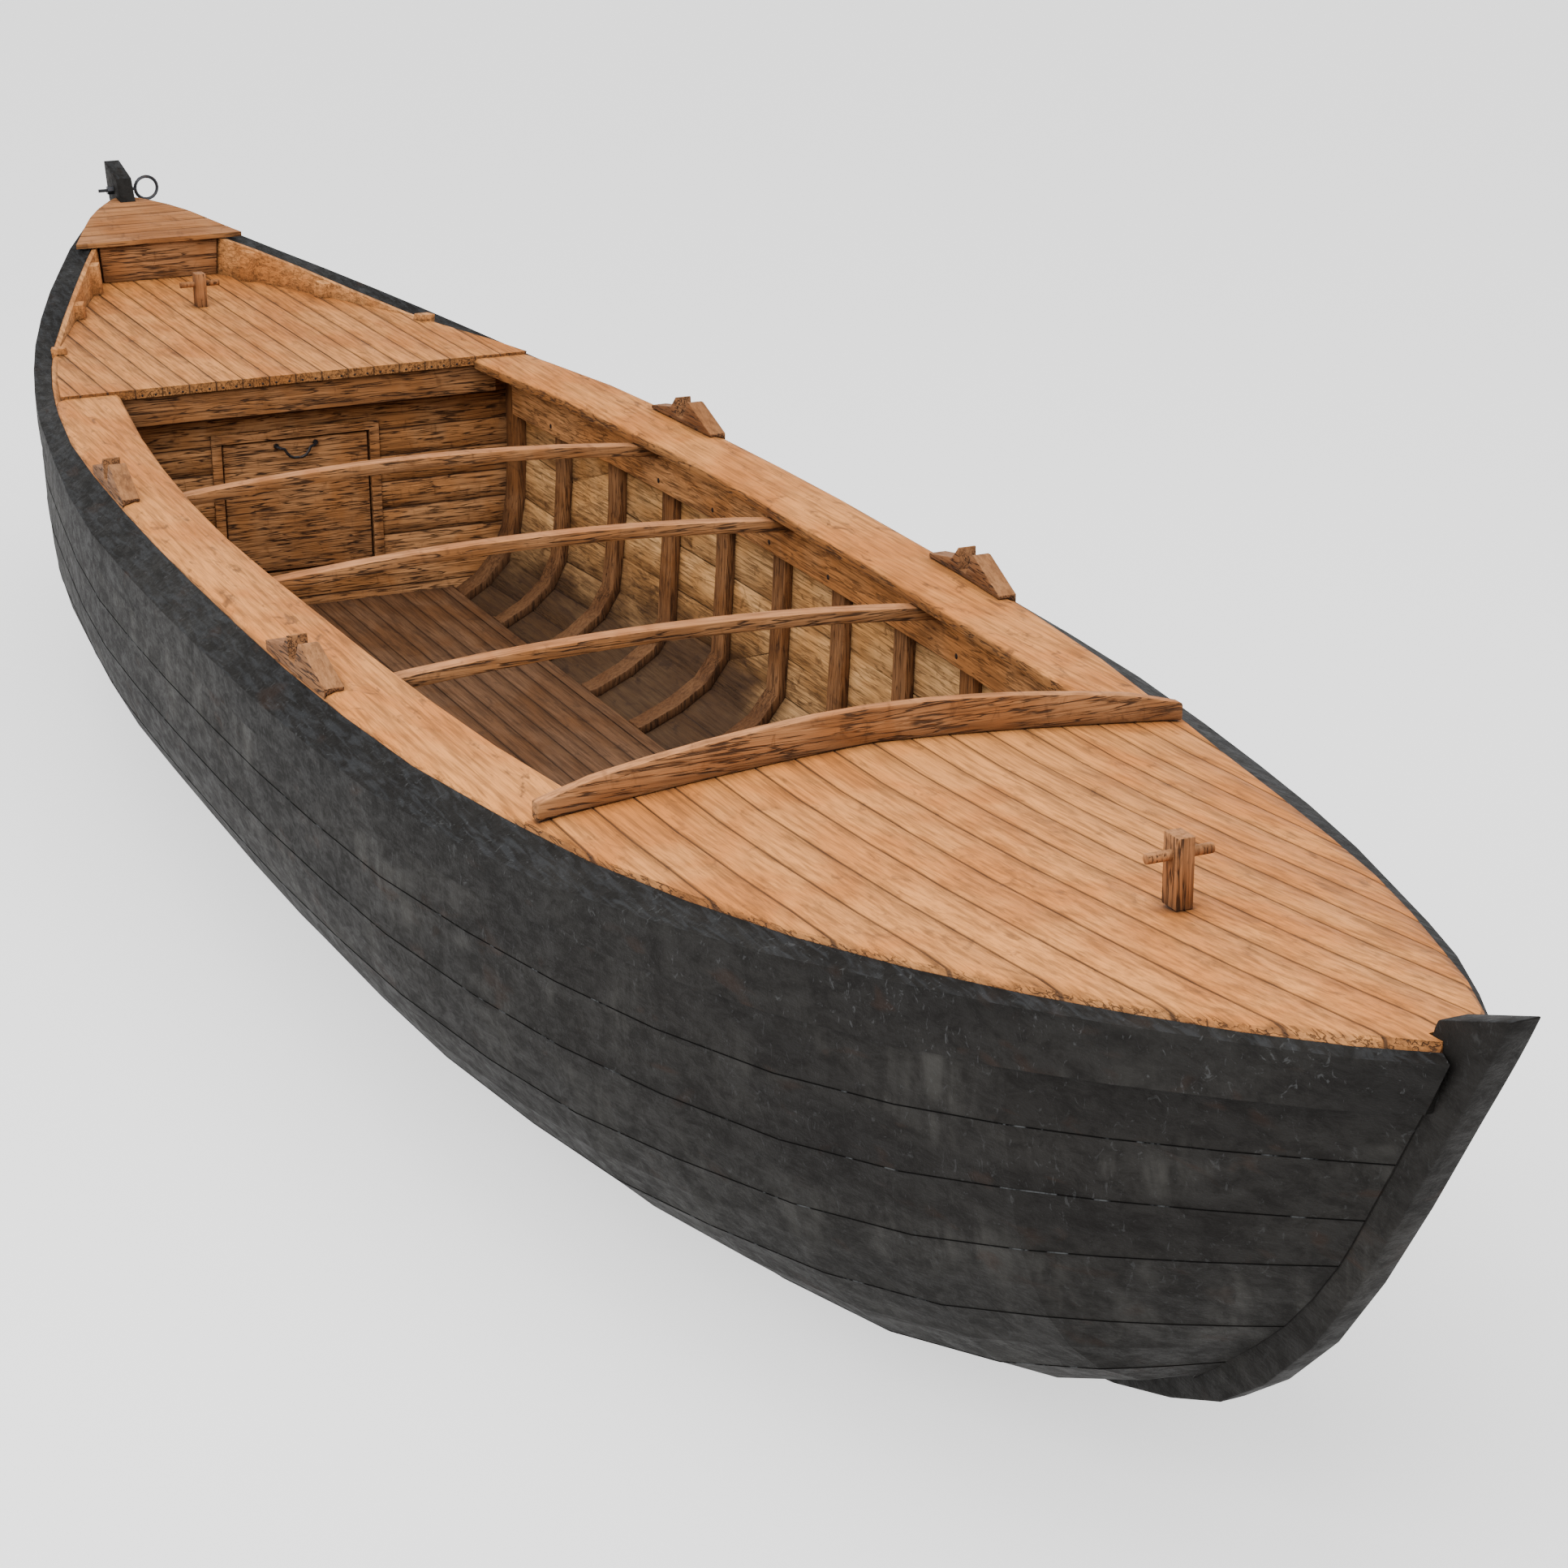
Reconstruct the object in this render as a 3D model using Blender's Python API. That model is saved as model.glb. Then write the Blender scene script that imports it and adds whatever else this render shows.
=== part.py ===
"""Wooden cargo boat, open hold, decked at bow and stern, as separate wooden pieces.

Axes: +X to the bow, +Y to port, +Z up. z = 0 is the waterline of the empty boat
and x = 0 is a point amidships. All lengths are in metres.
"""
import math

import bmesh
import bpy
import numpy as np

# driving dimensions
GAP = 0.0003            # between pieces that touch
SEAM = 0.0009           # between neighbouring strakes
PLANK = 0.035           # thickness of the outer planking
HALF_KEEL = 0.030       # half thickness of keel, stem and stern post
KEEL_BOTTOM = -0.290
WALE_PROUD = 0.008      # how far the wale's lower edge stands off the strake below
WALE_END = 0.020        # how far the wale runs onto the stem past the strakes
WALE_FLARE = [(0.0, 0.0), (0.6, 0.010), (0.85, 0.018), (1.0, 0.003)]  # lean, extra stand-off
SOLE_TOP = -0.065
SOLE_THICK = 0.018
FRAME_SIDING = 0.083    # width of a frame along the boat
FRAME_MOULDING = 0.028  # depth of a frame, inboard from the lining
HOLD_AFT = -2.164       # face of the aft bulkhead
HOLD_FORE = 2.330       # face of the fore bulkhead
DECK_EDGE_AFT = -2.060  # front edge of the stern deck
DECK_JOINT = 2.236      # where the covering boards meet the fore deck
DECK_THICK = 0.030
STERN_DECK_TOP = 0.762
RAISED_DECK_FRONT = -3.860

# hull form, one row a station:
# x, shoulder half breadth, shoulder z, fullness, bilge roundness, rabbet z, deck edge half breadth, deck edge z
HULL = [
    (-4.000, 0.283, 0.905, 2.05, 1.25, 0.207, 0.212, 0.911),
    (-3.400, 0.521, 0.828, 2.74, 1.48, -0.140, 0.440, 0.831),
    (-2.800, 0.708, 0.765, 3.52, 1.88, -0.224, 0.654, 0.753),
    (-2.100, 0.858, 0.716, 4.80, 2.50, -0.245, 0.808, 0.735),
    (-1.400, 0.955, 0.693, 4.25, 2.10, -0.250, 0.902, 0.737),
    (-0.700, 1.022, 0.677, 4.05, 1.93, -0.250, 0.937, 0.733),
    (0.000, 1.034, 0.671, 3.98, 1.88, -0.250, 0.950, 0.731),
    (0.800, 1.022, 0.667, 4.10, 1.93, -0.250, 0.942, 0.726),
    (1.600, 0.985, 0.671, 4.07, 1.95, -0.250, 0.897, 0.721),
    (2.400, 0.862, 0.696, 4.00, 2.02, -0.245, 0.773, 0.731),
    (3.000, 0.703, 0.747, 3.43, 2.08, -0.229, 0.639, 0.770),
    (3.500, 0.520, 0.807, 2.94, 2.20, -0.110, 0.489, 0.824),
    (3.900, 0.362, 0.862, 2.68, 2.30, 0.122, 0.328, 0.876),
]
# deck edge beyond the last stations: x, half breadth, z
DECK_EDGE_ENDS = [(-4.390, 0.045, 0.964), (-4.200, 0.140, 0.944), (4.200, 0.192, 0.922), (4.330, 0.117, 0.943),
                  (4.420, 0.032, 0.954)]
# edge of the raised stern deck: x, half breadth
RAISED_EDGE = [(-4.392, 0.0325), (-4.360, 0.062), (-4.320, 0.091), (-4.250, 0.137), (-4.150, 0.192), (-4.050, 0.238),
               (-3.950, 0.279), (-3.860, 0.316)]

# upper edge of each plank as a share of the girth from shoulder (0) to rabbet (1), at |x| of 1.6, 2.4, 3.0 and 3.7
PLANK_X = (1.6, 2.4, 3.0, 3.7)
PLANKS = [
    ("wale", (0.000, 0.000, 0.000, 0.000)),
    ("strake_1", (0.058, 0.067, 0.085, 0.117)),
    ("strake_2", (0.125, 0.140, 0.177, 0.225)),
    ("strake_3", (0.213, 0.240, 0.280, 0.350)),
    ("strake_4", (0.312, 0.350, 0.385, 0.475)),
    ("strake_5", (0.440, 0.485, 0.515, 0.630)),
    ("garboard", (0.620, 0.640, 0.680, 0.800)),
    ("rabbet", (1.000, 1.000, 1.000, 1.000)),
]
# height on the stem where each of those edges ends, bow and stern
PLANK_ENDS = [
    (0.943, 0.966),
    (0.829, 0.855),
    (0.708, 0.730),
    (0.569, 0.585),
    (0.450, 0.460),
    (0.255, 0.265),
    (0.089, 0.095),
    (0.000, 0.005),
]
RAKED_FROM = 3.7        # |x| where the sections start to lean with the stem
STERN_SHORTER = 0.03    # the stern profile is the bow's, this much nearer amidships
# rabbet on the stem: z, |x|
RABBET = [(-0.020, 3.700), (0.089, 3.828), (0.255, 4.012), (0.450, 4.168), (0.569, 4.237), (0.708, 4.314),
          (0.829, 4.380), (0.943, 4.440), (0.980, 4.456)]

# wall from the outside of the planking to the inside of the lining: x, at the side, in the bottom
WALL = [(-2.60, 0.067, 0.060), (-2.10, 0.067, 0.060), (-1.67, 0.114, 0.083), (-1.26, 0.132, 0.084),
        (-0.85, 0.160, 0.084), (0.00, 0.166, 0.084), (1.20, 0.160, 0.084), (2.00, 0.145, 0.058),
        (2.60, 0.130, 0.055)]
WALL_LOW_Z, WALL_HIGH_Z = -0.03, 0.27

# inner edge of the covering boards: x, half breadth, z
BOARD_EDGE = [(-2.06, 0.607, 0.753), (-1.20, 0.703, 0.741), (-0.30, 0.744, 0.735), (0.60, 0.729, 0.736),
              (1.50, 0.696, 0.740), (2.27, 0.641, 0.761)]

# edge of the sole: x, half breadth
SOLE_EDGE = [(-2.163, 0.532), (1.500, 0.532), (1.950, 0.520), (2.3296, 0.495)]

# forward face of each frame, pitch about 0.406
FRAMES = [-2.080, -1.672, -1.262, -0.846, -0.446, -0.040, 0.366, 0.772, 1.178, 1.584, 1.990]
# forward face of each cross beam
BEAMS = [-0.880, 0.100, 1.060]
BEAM_WIDTH, BEAM_DEPTH, BEAM_CAMBER = 0.055, 0.034, 0.045
ROWLOCKS = [("aft", -0.936), ("fore", 0.962)]
# rowlock outline: along the boat from the aft horn, height over the deck edge
ROWLOCK = [(-0.180, 0.012), (-0.040, 0.036), (-0.004, 0.073), (0.002, 0.073), (0.005, 0.014), (0.043, 0.014),
           (0.078, 0.074), (0.092, 0.074), (0.250, 0.010)]
# bitts: name, forward face, head z
BITTS = [("bow_bitt", 3.572, 1.030), ("stern_bitt", -3.280, 0.882)]
# door in the aft bulkhead
DOOR_HALF, DOOR_LOW, DOOR_HIGH, DOOR_THICK = 0.257, 0.062, 0.524, 0.025
DOOR_CLEAR = 0.006
# stem profile, keel end to head: outer x, outer z, inner x, inner z
BOW_STEM = [
    (2.900, -0.275, 2.900, -0.190), (3.150, -0.243, 3.100, -0.158), (3.422, -0.170, 3.350, -0.095),
    (3.630, -0.093, 3.530, -0.010), (3.805, -0.010, 3.680, 0.100), (3.950, 0.101, 3.810, 0.215),
    (4.095, 0.250, 3.930, 0.345), (4.221, 0.428, 4.050, 0.505), (4.341, 0.628, 4.170, 0.690),
    (4.455, 0.833, 4.330, 0.880), (4.493, 0.900, 4.379, 0.905), (4.531, 0.968, 4.383, 0.965),
    (4.556, 1.015, 4.388, 0.985), (4.585, 1.073, 4.396, 1.002),
]
STERN_HEAD = [(-4.506, 0.970, -4.312, 0.950), (-4.530, 1.020, -4.332, 0.992), (-4.556, 1.112, -4.371, 1.068)]
RING_BOLT = (-4.430, 0.100, 1.017)


def clear_scene():
    for obj in list(bpy.data.objects):
        bpy.data.objects.remove(obj, do_unlink=True)


def monotone(rows, column):
    """A smooth curve through one column of a table whose first column is x."""
    xs = np.array([r[0] for r in rows], float)
    ys = np.array([r[column] for r in rows], float)
    h = np.diff(xs)
    slope = np.diff(ys) / h
    d = np.zeros(len(xs))
    d[0], d[-1] = slope[0], slope[-1]
    for i in range(1, len(xs) - 1):
        if slope[i - 1] * slope[i] > 0:
            w1, w2 = 2 * h[i] + h[i - 1], h[i] + 2 * h[i - 1]
            d[i] = (w1 + w2) / (w1 / slope[i - 1] + w2 / slope[i])

    def at(x):
        i = int(np.clip(np.searchsorted(xs, x) - 1, 0, len(xs) - 2))
        t = (x - xs[i]) / h[i]
        t = min(max(t, -0.3), 1.3)
        a = ys[i] * (1 + 2 * t) * (1 - t) ** 2 + ys[i + 1] * t * t * (3 - 2 * t)
        return float(a + h[i] * (d[i] * t * (1 - t) ** 2 + d[i + 1] * t * t * (t - 1)))

    return at


shoulder_y, shoulder_z, fullness, roundness, rabbet_z = [monotone(HULL, c) for c in (1, 2, 3, 4, 5)]
EDGE_ROWS = sorted([(r[0], r[6], r[7]) for r in HULL] + DECK_EDGE_ENDS)
deck_edge_y, deck_edge_z = monotone(EDGE_ROWS, 1), monotone(EDGE_ROWS, 2)
board_y, board_z = monotone(BOARD_EDGE, 1), monotone(BOARD_EDGE, 2)
wall_side, wall_low = monotone(WALL, 1), monotone(WALL, 2)
sole_half = monotone(SOLE_EDGE, 1)
rabbet_x = monotone(RABBET, 1)


def girth_curve(x):
    """Outer half section at x from shoulder to rabbet: share of girth, y, z, outward normal."""
    top_y, top_z, low_z = shoulder_y(x), shoulder_z(x), rabbet_z(x)
    p, q = fullness(x), roundness(x)
    edge = HALF_KEEL + GAP
    h = (1 - np.linspace(0, 1, 240)) ** 1.6
    y = edge + (top_y - edge) * (1 - (1 - h) ** p) ** (1 / q)
    z = low_z + (top_z - low_z) * h
    steps = np.hypot(np.diff(y), np.diff(z))
    s = np.concatenate([[0], np.cumsum(steps)])
    ty, tz = np.gradient(y), np.gradient(z)
    length = np.hypot(ty, tz)
    return s / s[-1], y, z, -tz / length, ty / length, s[-1]


def section_point(x, share):
    s, y, z, ny, nz, _ = girth_curve(x)
    return tuple(float(np.interp(share, s, a)) for a in (y, z, ny, nz))


def outer_y(x, z):
    """Half breadth of the outside of the hull at x and z, also where the sections lean."""
    end = 1 if x > 0 else -1
    if abs(x) <= RAKED_FROM:
        _, y, zz, _, _, _ = girth_curve(x)
        return float(np.interp(z, zz[::-1], y[::-1]))
    s, y0, z0, _, _, _ = girth_curve(RAKED_FROM * end)
    shares = [p[1][-1] for p in PLANKS]
    z1 = np.interp(s, shares, [e[0 if end > 0 else 1] for e in PLANK_ENDS])
    short = 0.0 if end > 0 else STERN_SHORTER
    t = (abs(x) - RAKED_FROM) / 0.7
    for _ in range(12):
        share = float(np.interp(z, (z0 + (z1 - z0) * t)[::-1], s[::-1]))
        x1 = rabbet_x(float(np.interp(share, s, z1))) - short
        t = min((abs(x) - RAKED_FROM) / (x1 - RAKED_FROM), 1.0)
    start = float(np.interp(share, s, y0))
    y1 = HALF_KEEL + GAP + 0.004
    return y1 + (start - y1) * (1 - t) * (1 + 0.25 * t)


def plank_share(k, x):
    return float(np.interp(abs(x), PLANK_X, PLANKS[k][1]))


class Station:
    """One cross section: at a fixed x, or leaning with the stem where lean is above 0."""

    def __init__(self, x, lean=0.0, end=1):
        self.x, self.lean, self.end = x, lean, end

    def outer(self, share):
        """Point and in-section normal of the planking's outside at a share of the girth."""
        if self.lean == 0:
            y, z, ny, nz = section_point(self.x, share)
            return (self.x, y, z), (ny, nz)
        x0 = RAKED_FROM * self.end
        y0, z0, ny0, nz0 = section_point(x0, share)
        shares = [p[1][-1] for p in PLANKS]
        column = 0 if self.end > 0 else 1
        z1 = float(np.interp(share, shares, [e[column] for e in PLANK_ENDS]))
        short = 0.0 if self.end > 0 else STERN_SHORTER
        x1 = (rabbet_x(z1) - short) * self.end
        t = self.lean
        y1 = HALF_KEEL + GAP + 0.004
        x = x0 + (x1 - x0) * t
        y = y1 + (y0 - y1) * (1 - t) * (1 + 0.25 * t)
        z = z0 + (z1 - z0) * t
        ny, nz = ny0 + (1 - ny0) * t, nz0 * (1 - t)
        n = math.hypot(ny, nz)
        return (x, y, z), (ny / n, nz / n)

    def inner(self, share, thick):
        (x, y, z), (ny, nz) = self.outer(share)
        return x, max(y - thick * ny, HALF_KEEL + GAP), z - thick * nz

    def deck_edge(self):
        x = self.x
        if self.lean > 0:
            span = (DECK_EDGE_ENDS[-1][0] if self.end > 0 else -DECK_EDGE_ENDS[0][0]) - RAKED_FROM
            x = (RAKED_FROM + span * self.lean) * self.end
        return x, deck_edge_y(x), deck_edge_z(x)


BODY_X = [-3.700, -3.450, -3.150, -2.850, -2.570, -2.310, -2.060, -1.920, -1.510, -1.100, -0.690, -0.285, 0.120, 0.525,
          0.930, 1.335, 1.740, 2.150, 2.500, 2.830, 3.160, 3.450, 3.700]
LEANS = (0.3, 0.6, 0.85, 1.0)
STATIONS = ([Station(-RAKED_FROM, t, -1) for t in reversed(LEANS)] + [Station(x) for x in BODY_X]
            + [Station(RAKED_FROM, t, 1) for t in LEANS])
HOLD_X = sorted([-2.310, HOLD_AFT - 0.030, HOLD_AFT, HOLD_FORE, HOLD_FORE + 0.030, 2.500] + FRAMES
                + [x - FRAME_SIDING for x in FRAMES[1:]])


def material(name, color, rough, metal=0.0):
    mat = bpy.data.materials.new(name)
    mat.use_nodes = True
    bsdf = mat.node_tree.nodes["Principled BSDF"]
    bsdf.inputs["Base Color"].default_value = (*color, 1.0)
    bsdf.inputs["Roughness"].default_value = rough
    bsdf.inputs["Metallic"].default_value = metal
    return mat


COLORS = {
    "tarred": ((0.045, 0.042, 0.040), 0.65),
    "deck": ((0.58, 0.33, 0.15), 0.60),
    "frame": ((0.30, 0.18, 0.10), 0.65),
    "lining": ((0.50, 0.32, 0.16), 0.65),
    "sole": ((0.22, 0.13, 0.08), 0.70),
    "iron": ((0.05, 0.055, 0.06), 0.50),
}


def add_mesh(name, verts, faces, look, smooth=False):
    mesh = bpy.data.meshes.new(name)
    mesh.from_pydata([tuple(map(float, v)) for v in verts], [], faces)
    obj = bpy.data.objects.new(name, mesh)
    bpy.context.collection.objects.link(obj)
    bm = bmesh.new()
    bm.from_mesh(mesh)
    bmesh.ops.recalc_face_normals(bm, faces=bm.faces)
    if bm.calc_volume(signed=True) < 0:
        bmesh.ops.reverse_faces(bm, faces=bm.faces)
    bm.to_mesh(mesh)
    bm.free()
    color, rough = COLORS[look]
    mesh.materials.append(material(name, color, rough, 1.0 if look == "iron" else 0.0))
    for poly in mesh.polygons:
        poly.use_smooth = smooth
    if smooth:
        mesh.set_sharp_from_angle(angle=math.radians(32))
    return obj


def hollow_split(verts, faces):
    """Splits each four-sided face along the diagonal that leaves the body slightly smaller."""
    pts = [np.array(v, float) for v in verts]
    volume = 0.0
    for f in faces:
        for i in range(1, len(f) - 1):
            volume += float(np.dot(pts[f[0]], np.cross(pts[f[i]], pts[f[i + 1]])))
    out = 1.0 if volume > 0 else -1.0
    result = []
    for f in faces:
        if len(f) != 4:
            result.append(f)
            continue
        a, b, c, d = [pts[i] for i in f]
        rise = out * float(np.dot(a + c - b - d, np.cross(c - a, d - b)))
        if abs(rise) < 1e-9:
            result.append(f)
        elif rise < 0:
            result += [(f[0], f[1], f[2]), (f[0], f[2], f[3])]
        else:
            result += [(f[0], f[1], f[3]), (f[1], f[2], f[3])]
    return result


def loft(name, rings, look, closed=False, smooth=False):
    """One closed body through rings of equal point count, capped at both ends unless closed."""
    n = len(rings[0])
    verts = [p for ring in rings for p in ring]
    faces = []
    last = len(rings) if closed else len(rings) - 1
    for i in range(last):
        a, b = i * n, ((i + 1) % len(rings)) * n
        for j in range(n):
            k = (j + 1) % n
            faces.append((a + j, a + k, b + k, b + j))
    if not closed:
        faces.append(tuple(range(n)))
        faces.append(tuple((len(rings) - 1) * n + j for j in reversed(range(n))))
    return add_mesh(name, verts, hollow_split(verts, faces), look, smooth)


def box(name, x0, x1, y0, y1, z0, z1, look):
    ring = [(y0, z0), (y1, z0), (y1, z1), (y0, z1)]
    return loft(name, [[(x, y, z) for y, z in ring] for x in (x0, x1)], look)


def tube(name, path, radii, sides, look):
    """A round bar along a list of points; each ring stands square to the path."""
    pts = [np.array(p, float) for p in path]
    rings = []
    up = None
    for i, p in enumerate(pts):
        t = pts[min(i + 1, len(pts) - 1)] - pts[max(i - 1, 0)]
        t = t / np.linalg.norm(t)
        ref = np.array([1.0, 0.0, 0.0]) if abs(t[0]) < 0.8 else np.array([0.0, 0.0, 1.0])
        if up is None:
            up = ref
        up = up - t * np.dot(up, t)
        up = up / np.linalg.norm(up)
        side = np.cross(t, up)
        ring = []
        for j in range(sides):
            a = 2 * math.pi * j / sides
            ring.append(tuple(p + radii[i] * (math.cos(a) * up + math.sin(a) * side)))
        rings.append(ring)
    return loft(name, rings, look, smooth=True)


def combine(target, other, operation):
    mod = target.modifiers.new(operation.lower(), "BOOLEAN")
    mod.operation = operation
    mod.solver = "EXACT"
    mod.object = other
    other.hide_render = True
    other.display_type = "WIRE"
    bpy.context.view_layer.update()
    deps = bpy.context.evaluated_depsgraph_get()
    mesh = bpy.data.meshes.new_from_object(target.evaluated_get(deps))
    target.modifiers.remove(mod)
    old = target.data
    target.data = mesh
    mesh.name = target.name
    bpy.data.meshes.remove(old)
    bpy.data.objects.remove(other, do_unlink=True)
    return target


def mirrored(ring, side):
    return [(x, y * side, z) for x, y, z in ring]


SIDES = (("port", 1), ("starboard", -1))


def build_planking():
    """Wale, five strakes and the garboard on each side."""
    for k in range(len(PLANKS) - 1):
        name = PLANKS[k][0]
        for side_name, side in SIDES:
            rings = []
            for st in STATIONS:
                x = RAKED_FROM if st.lean else st.x
                length = girth_curve(RAKED_FROM * st.end if st.lean else st.x)[5]
                half_gap = 0.5 * SEAM / length
                top = plank_share(k, x) + (half_gap if k else 0.0)
                low = plank_share(k + 1, x) - (half_gap if k < len(PLANKS) - 2 else 0.0)
                if k == 0:
                    rings.append(mirrored(wale_ring(st, low), side))
                    continue
                shares = [top, low] if k in (1, 2) else [top, 0.5 * (top + low), low]
                outer = [st.outer(s)[0] for s in shares]
                inner = [st.inner(s, PLANK) for s in reversed(shares)]
                rings.append(mirrored(outer + inner, side))
            loft(f"{name}_{side_name}", rings, "tarred", smooth=True)


def wale_ring(st, low):
    """Wale section: bevelled top from the deck edge out to the shoulder, then down to its lower edge."""
    (x, y, z), (ny, nz) = st.outer(low)
    flare = float(np.interp(st.lean, [r[0] for r in WALE_FLARE], [r[1] for r in WALE_FLARE]))
    ahead = WALE_END * st.end if st.lean == 1.0 else 0.0
    lift = 0.45 * abs(ahead)
    foot = (x + ahead, y + WALE_PROUD * ny + flare, z + WALE_PROUD * nz + lift)
    (sx, sy, sz), _ = st.outer(0.0)
    sx, sy, sz = sx + ahead, sy + WALE_PROUD * 1.2 + flare, sz + lift
    ex, ey, ez = st.deck_edge()
    ex = sx + (ex - sx) * 0.999
    inner_y = max(ey + (0.0018 if ex < -2.2 else 2 * GAP), HALF_KEEL + GAP)
    heel = st.inner(low, PLANK)
    heel_in = (heel[0] + ahead, min(heel[1], inner_y + 0.10), heel[2] + lift)
    return [foot, (sx, sy, sz), (ex, inner_y, ez), (ex, inner_y, ez - 0.055), heel_in]


def lining_wall(x, z):
    t = min(max((z - WALL_LOW_Z) / (WALL_HIGH_Z - WALL_LOW_Z), 0.0), 1.0)
    t = t * t * (3 - 2 * t)
    return wall_low(x) + (wall_side(x) - wall_low(x)) * t


LINING_SHARES = (0.10, 0.20, 0.31, 0.40, 0.48, 0.56, 0.64, 0.73, 0.85, 1.0)


def board_bottom(x, y):
    """Underside of the covering board at half breadth y."""
    y0, z0 = board_y(x), board_z(x) - 0.035
    y1, z1 = deck_edge_y(x), deck_edge_z(x) - 0.0175
    return z0 + (z1 - z0) * (y - y0) / (y1 - y0)


def lining_inner(x):
    """Inside of the lining at station x, top to keel, as y, z."""
    points = []
    for share in LINING_SHARES:
        y, z, ny, nz = section_point(x, share)
        wall = lining_wall(x, z)
        points.append((y - wall * ny, z - wall * nz))
    points[-1] = (0.0, points[-1][1])
    top_z = board_bottom(x, points[0][0]) - 0.0012 if -2.06 < x < DECK_JOINT else 0.700
    return [(points[0][0] + 0.002, top_z)] + points


def lining_at(x):
    """The same between stations, on the flat facets of the lining."""
    x0 = max(v for v in HOLD_X if v <= x)
    x1 = min(v for v in HOLD_X if v > x)
    t = (x - x0) / (x1 - x0)
    a, b = lining_inner(x0), lining_inner(x1)
    return [(p[0] + (q[0] - p[0]) * t, p[1] + (q[1] - p[1]) * t) for p, q in zip(a, b)]


def build_lining():
    """Inside planking of the hold, between the frames and the strakes."""
    for side_name, side in SIDES:
        rings = []
        for x in HOLD_X:
            inner = [(x, max(y, GAP / 2), z) for y, z in lining_inner(x)]
            outer = []
            tops = [plank_share(k, x) for k in range(1, len(PLANKS))]
            mids = [0.5 * (a + b) for a, b in zip(tops[2:], tops[3:])]
            back = PLANK + 0.006
            for share in sorted(tops + mids):
                y, z, ny, nz = section_point(x, share)
                outer.append((x, y - back * ny, z - back * nz))
            outer[-1] = (x, GAP / 2, outer[-1][2])
            top_y = min(deck_edge_y(x) - 0.004, outer[0][1])
            top_z = board_bottom(x, top_y) - 0.0012 if -2.06 < x < DECK_JOINT else 0.700
            outer = [(x, top_y, top_z), (x, top_y, 0.645)] + outer[1:]
            rings.append(mirrored(inner + list(reversed(outer)), side))
        loft(f"hold_lining_{side_name}", rings, "lining", smooth=True)


def build_frames():
    """Each frame is one timber from clamp to clamp, its floor under the sole."""
    floor_top = SOLE_TOP - SOLE_THICK - GAP
    clear = 2 * GAP
    for number, fore in enumerate(FRAMES, 1):
        sections = []
        for x in (fore - FRAME_SIDING, fore):
            pts = lining_at(x)
            line = []
            for i, (y, z) in enumerate(pts):
                py, pz = pts[max(i - 1, 0)]
                qy, qz = pts[min(i + 1, len(pts) - 1)]
                ty, tz = qy - py, qz - pz
                n = math.hypot(ty, tz)
                ny, nz = -tz / n, ty / n
                if i == 0:
                    ny, nz = 1.0, 0.0
                if i == len(pts) - 1:
                    ny, nz = 0.0, -1.0
                line.append((y, z, ny, nz))
            sections.append(line)
        count = len(sections[0])
        rings = []
        for i in range(count):
            quad = []
            for line, x in ((sections[0], fore - FRAME_SIDING), (sections[1], fore)):
                y, z, ny, nz = line[i]
                out = (x, max(y - clear * ny, 0.0), z - clear * nz)
                iy, iz = y - FRAME_MOULDING * ny, z - FRAME_MOULDING * nz
                if i == count - 1:
                    iy = 0.0
                quad.append((out, (x, iy, iz)))
            (o0, n0), (o1, n1) = quad
            if min(n0[1], n1[1]) < sole_half(fore - FRAME_SIDING) + 3 * GAP:
                n0, n1 = [(n[0], n[1], floor_top) for n in (n0, n1)]
            if i == 0:
                top = board_bottom(fore, o1[1]) - 0.003 if fore > -2.05 else 0.700
                o0, n0, o1, n1 = [(p[0], p[1], top) for p in (o0, n0, o1, n1)]
            rings.append([o0, n0, n1, o1])
        rings = step_at_sole(rings, floor_top, sole_half(fore - FRAME_SIDING))
        other = [[(x, -y, z) for x, y, z in ring] for ring in reversed(rings[:-1])]
        loft(f"frame_{number:02d}", rings + other, "frame")


def step_at_sole(rings, floor_top, half):
    """Adds the notch where a frame meets the edge of the sole."""
    edge = half + 3 * GAP
    for i in range(len(rings) - 1):
        a, b = rings[i], rings[i + 1]
        if b[1][2] == floor_top and a[1][2] != floor_top:
            first, second = [], []
            for j in range(4):
                t = (a[j][1] - edge) / (a[j][1] - b[j][1])
                t = min(max(t, 0.02), 0.98)
                z = a[j][2] + (b[j][2] - a[j][2]) * t
                if j in (0, 3):
                    first.append((a[j][0], edge + 0.002, a[j][2] + (b[j][2] - a[j][2]) * max(t - 0.01, 0.01)))
                    second.append((a[j][0], edge - 0.002, a[j][2] + (b[j][2] - a[j][2]) * min(t + 0.01, 0.99)))
                else:
                    first.append((a[j][0], edge + 0.0005, SOLE_TOP + 0.004))
                    second.append((a[j][0], edge - 0.0005, floor_top))
            return rings[:i + 1] + [first, second] + rings[i + 1:]
    return rings


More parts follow.
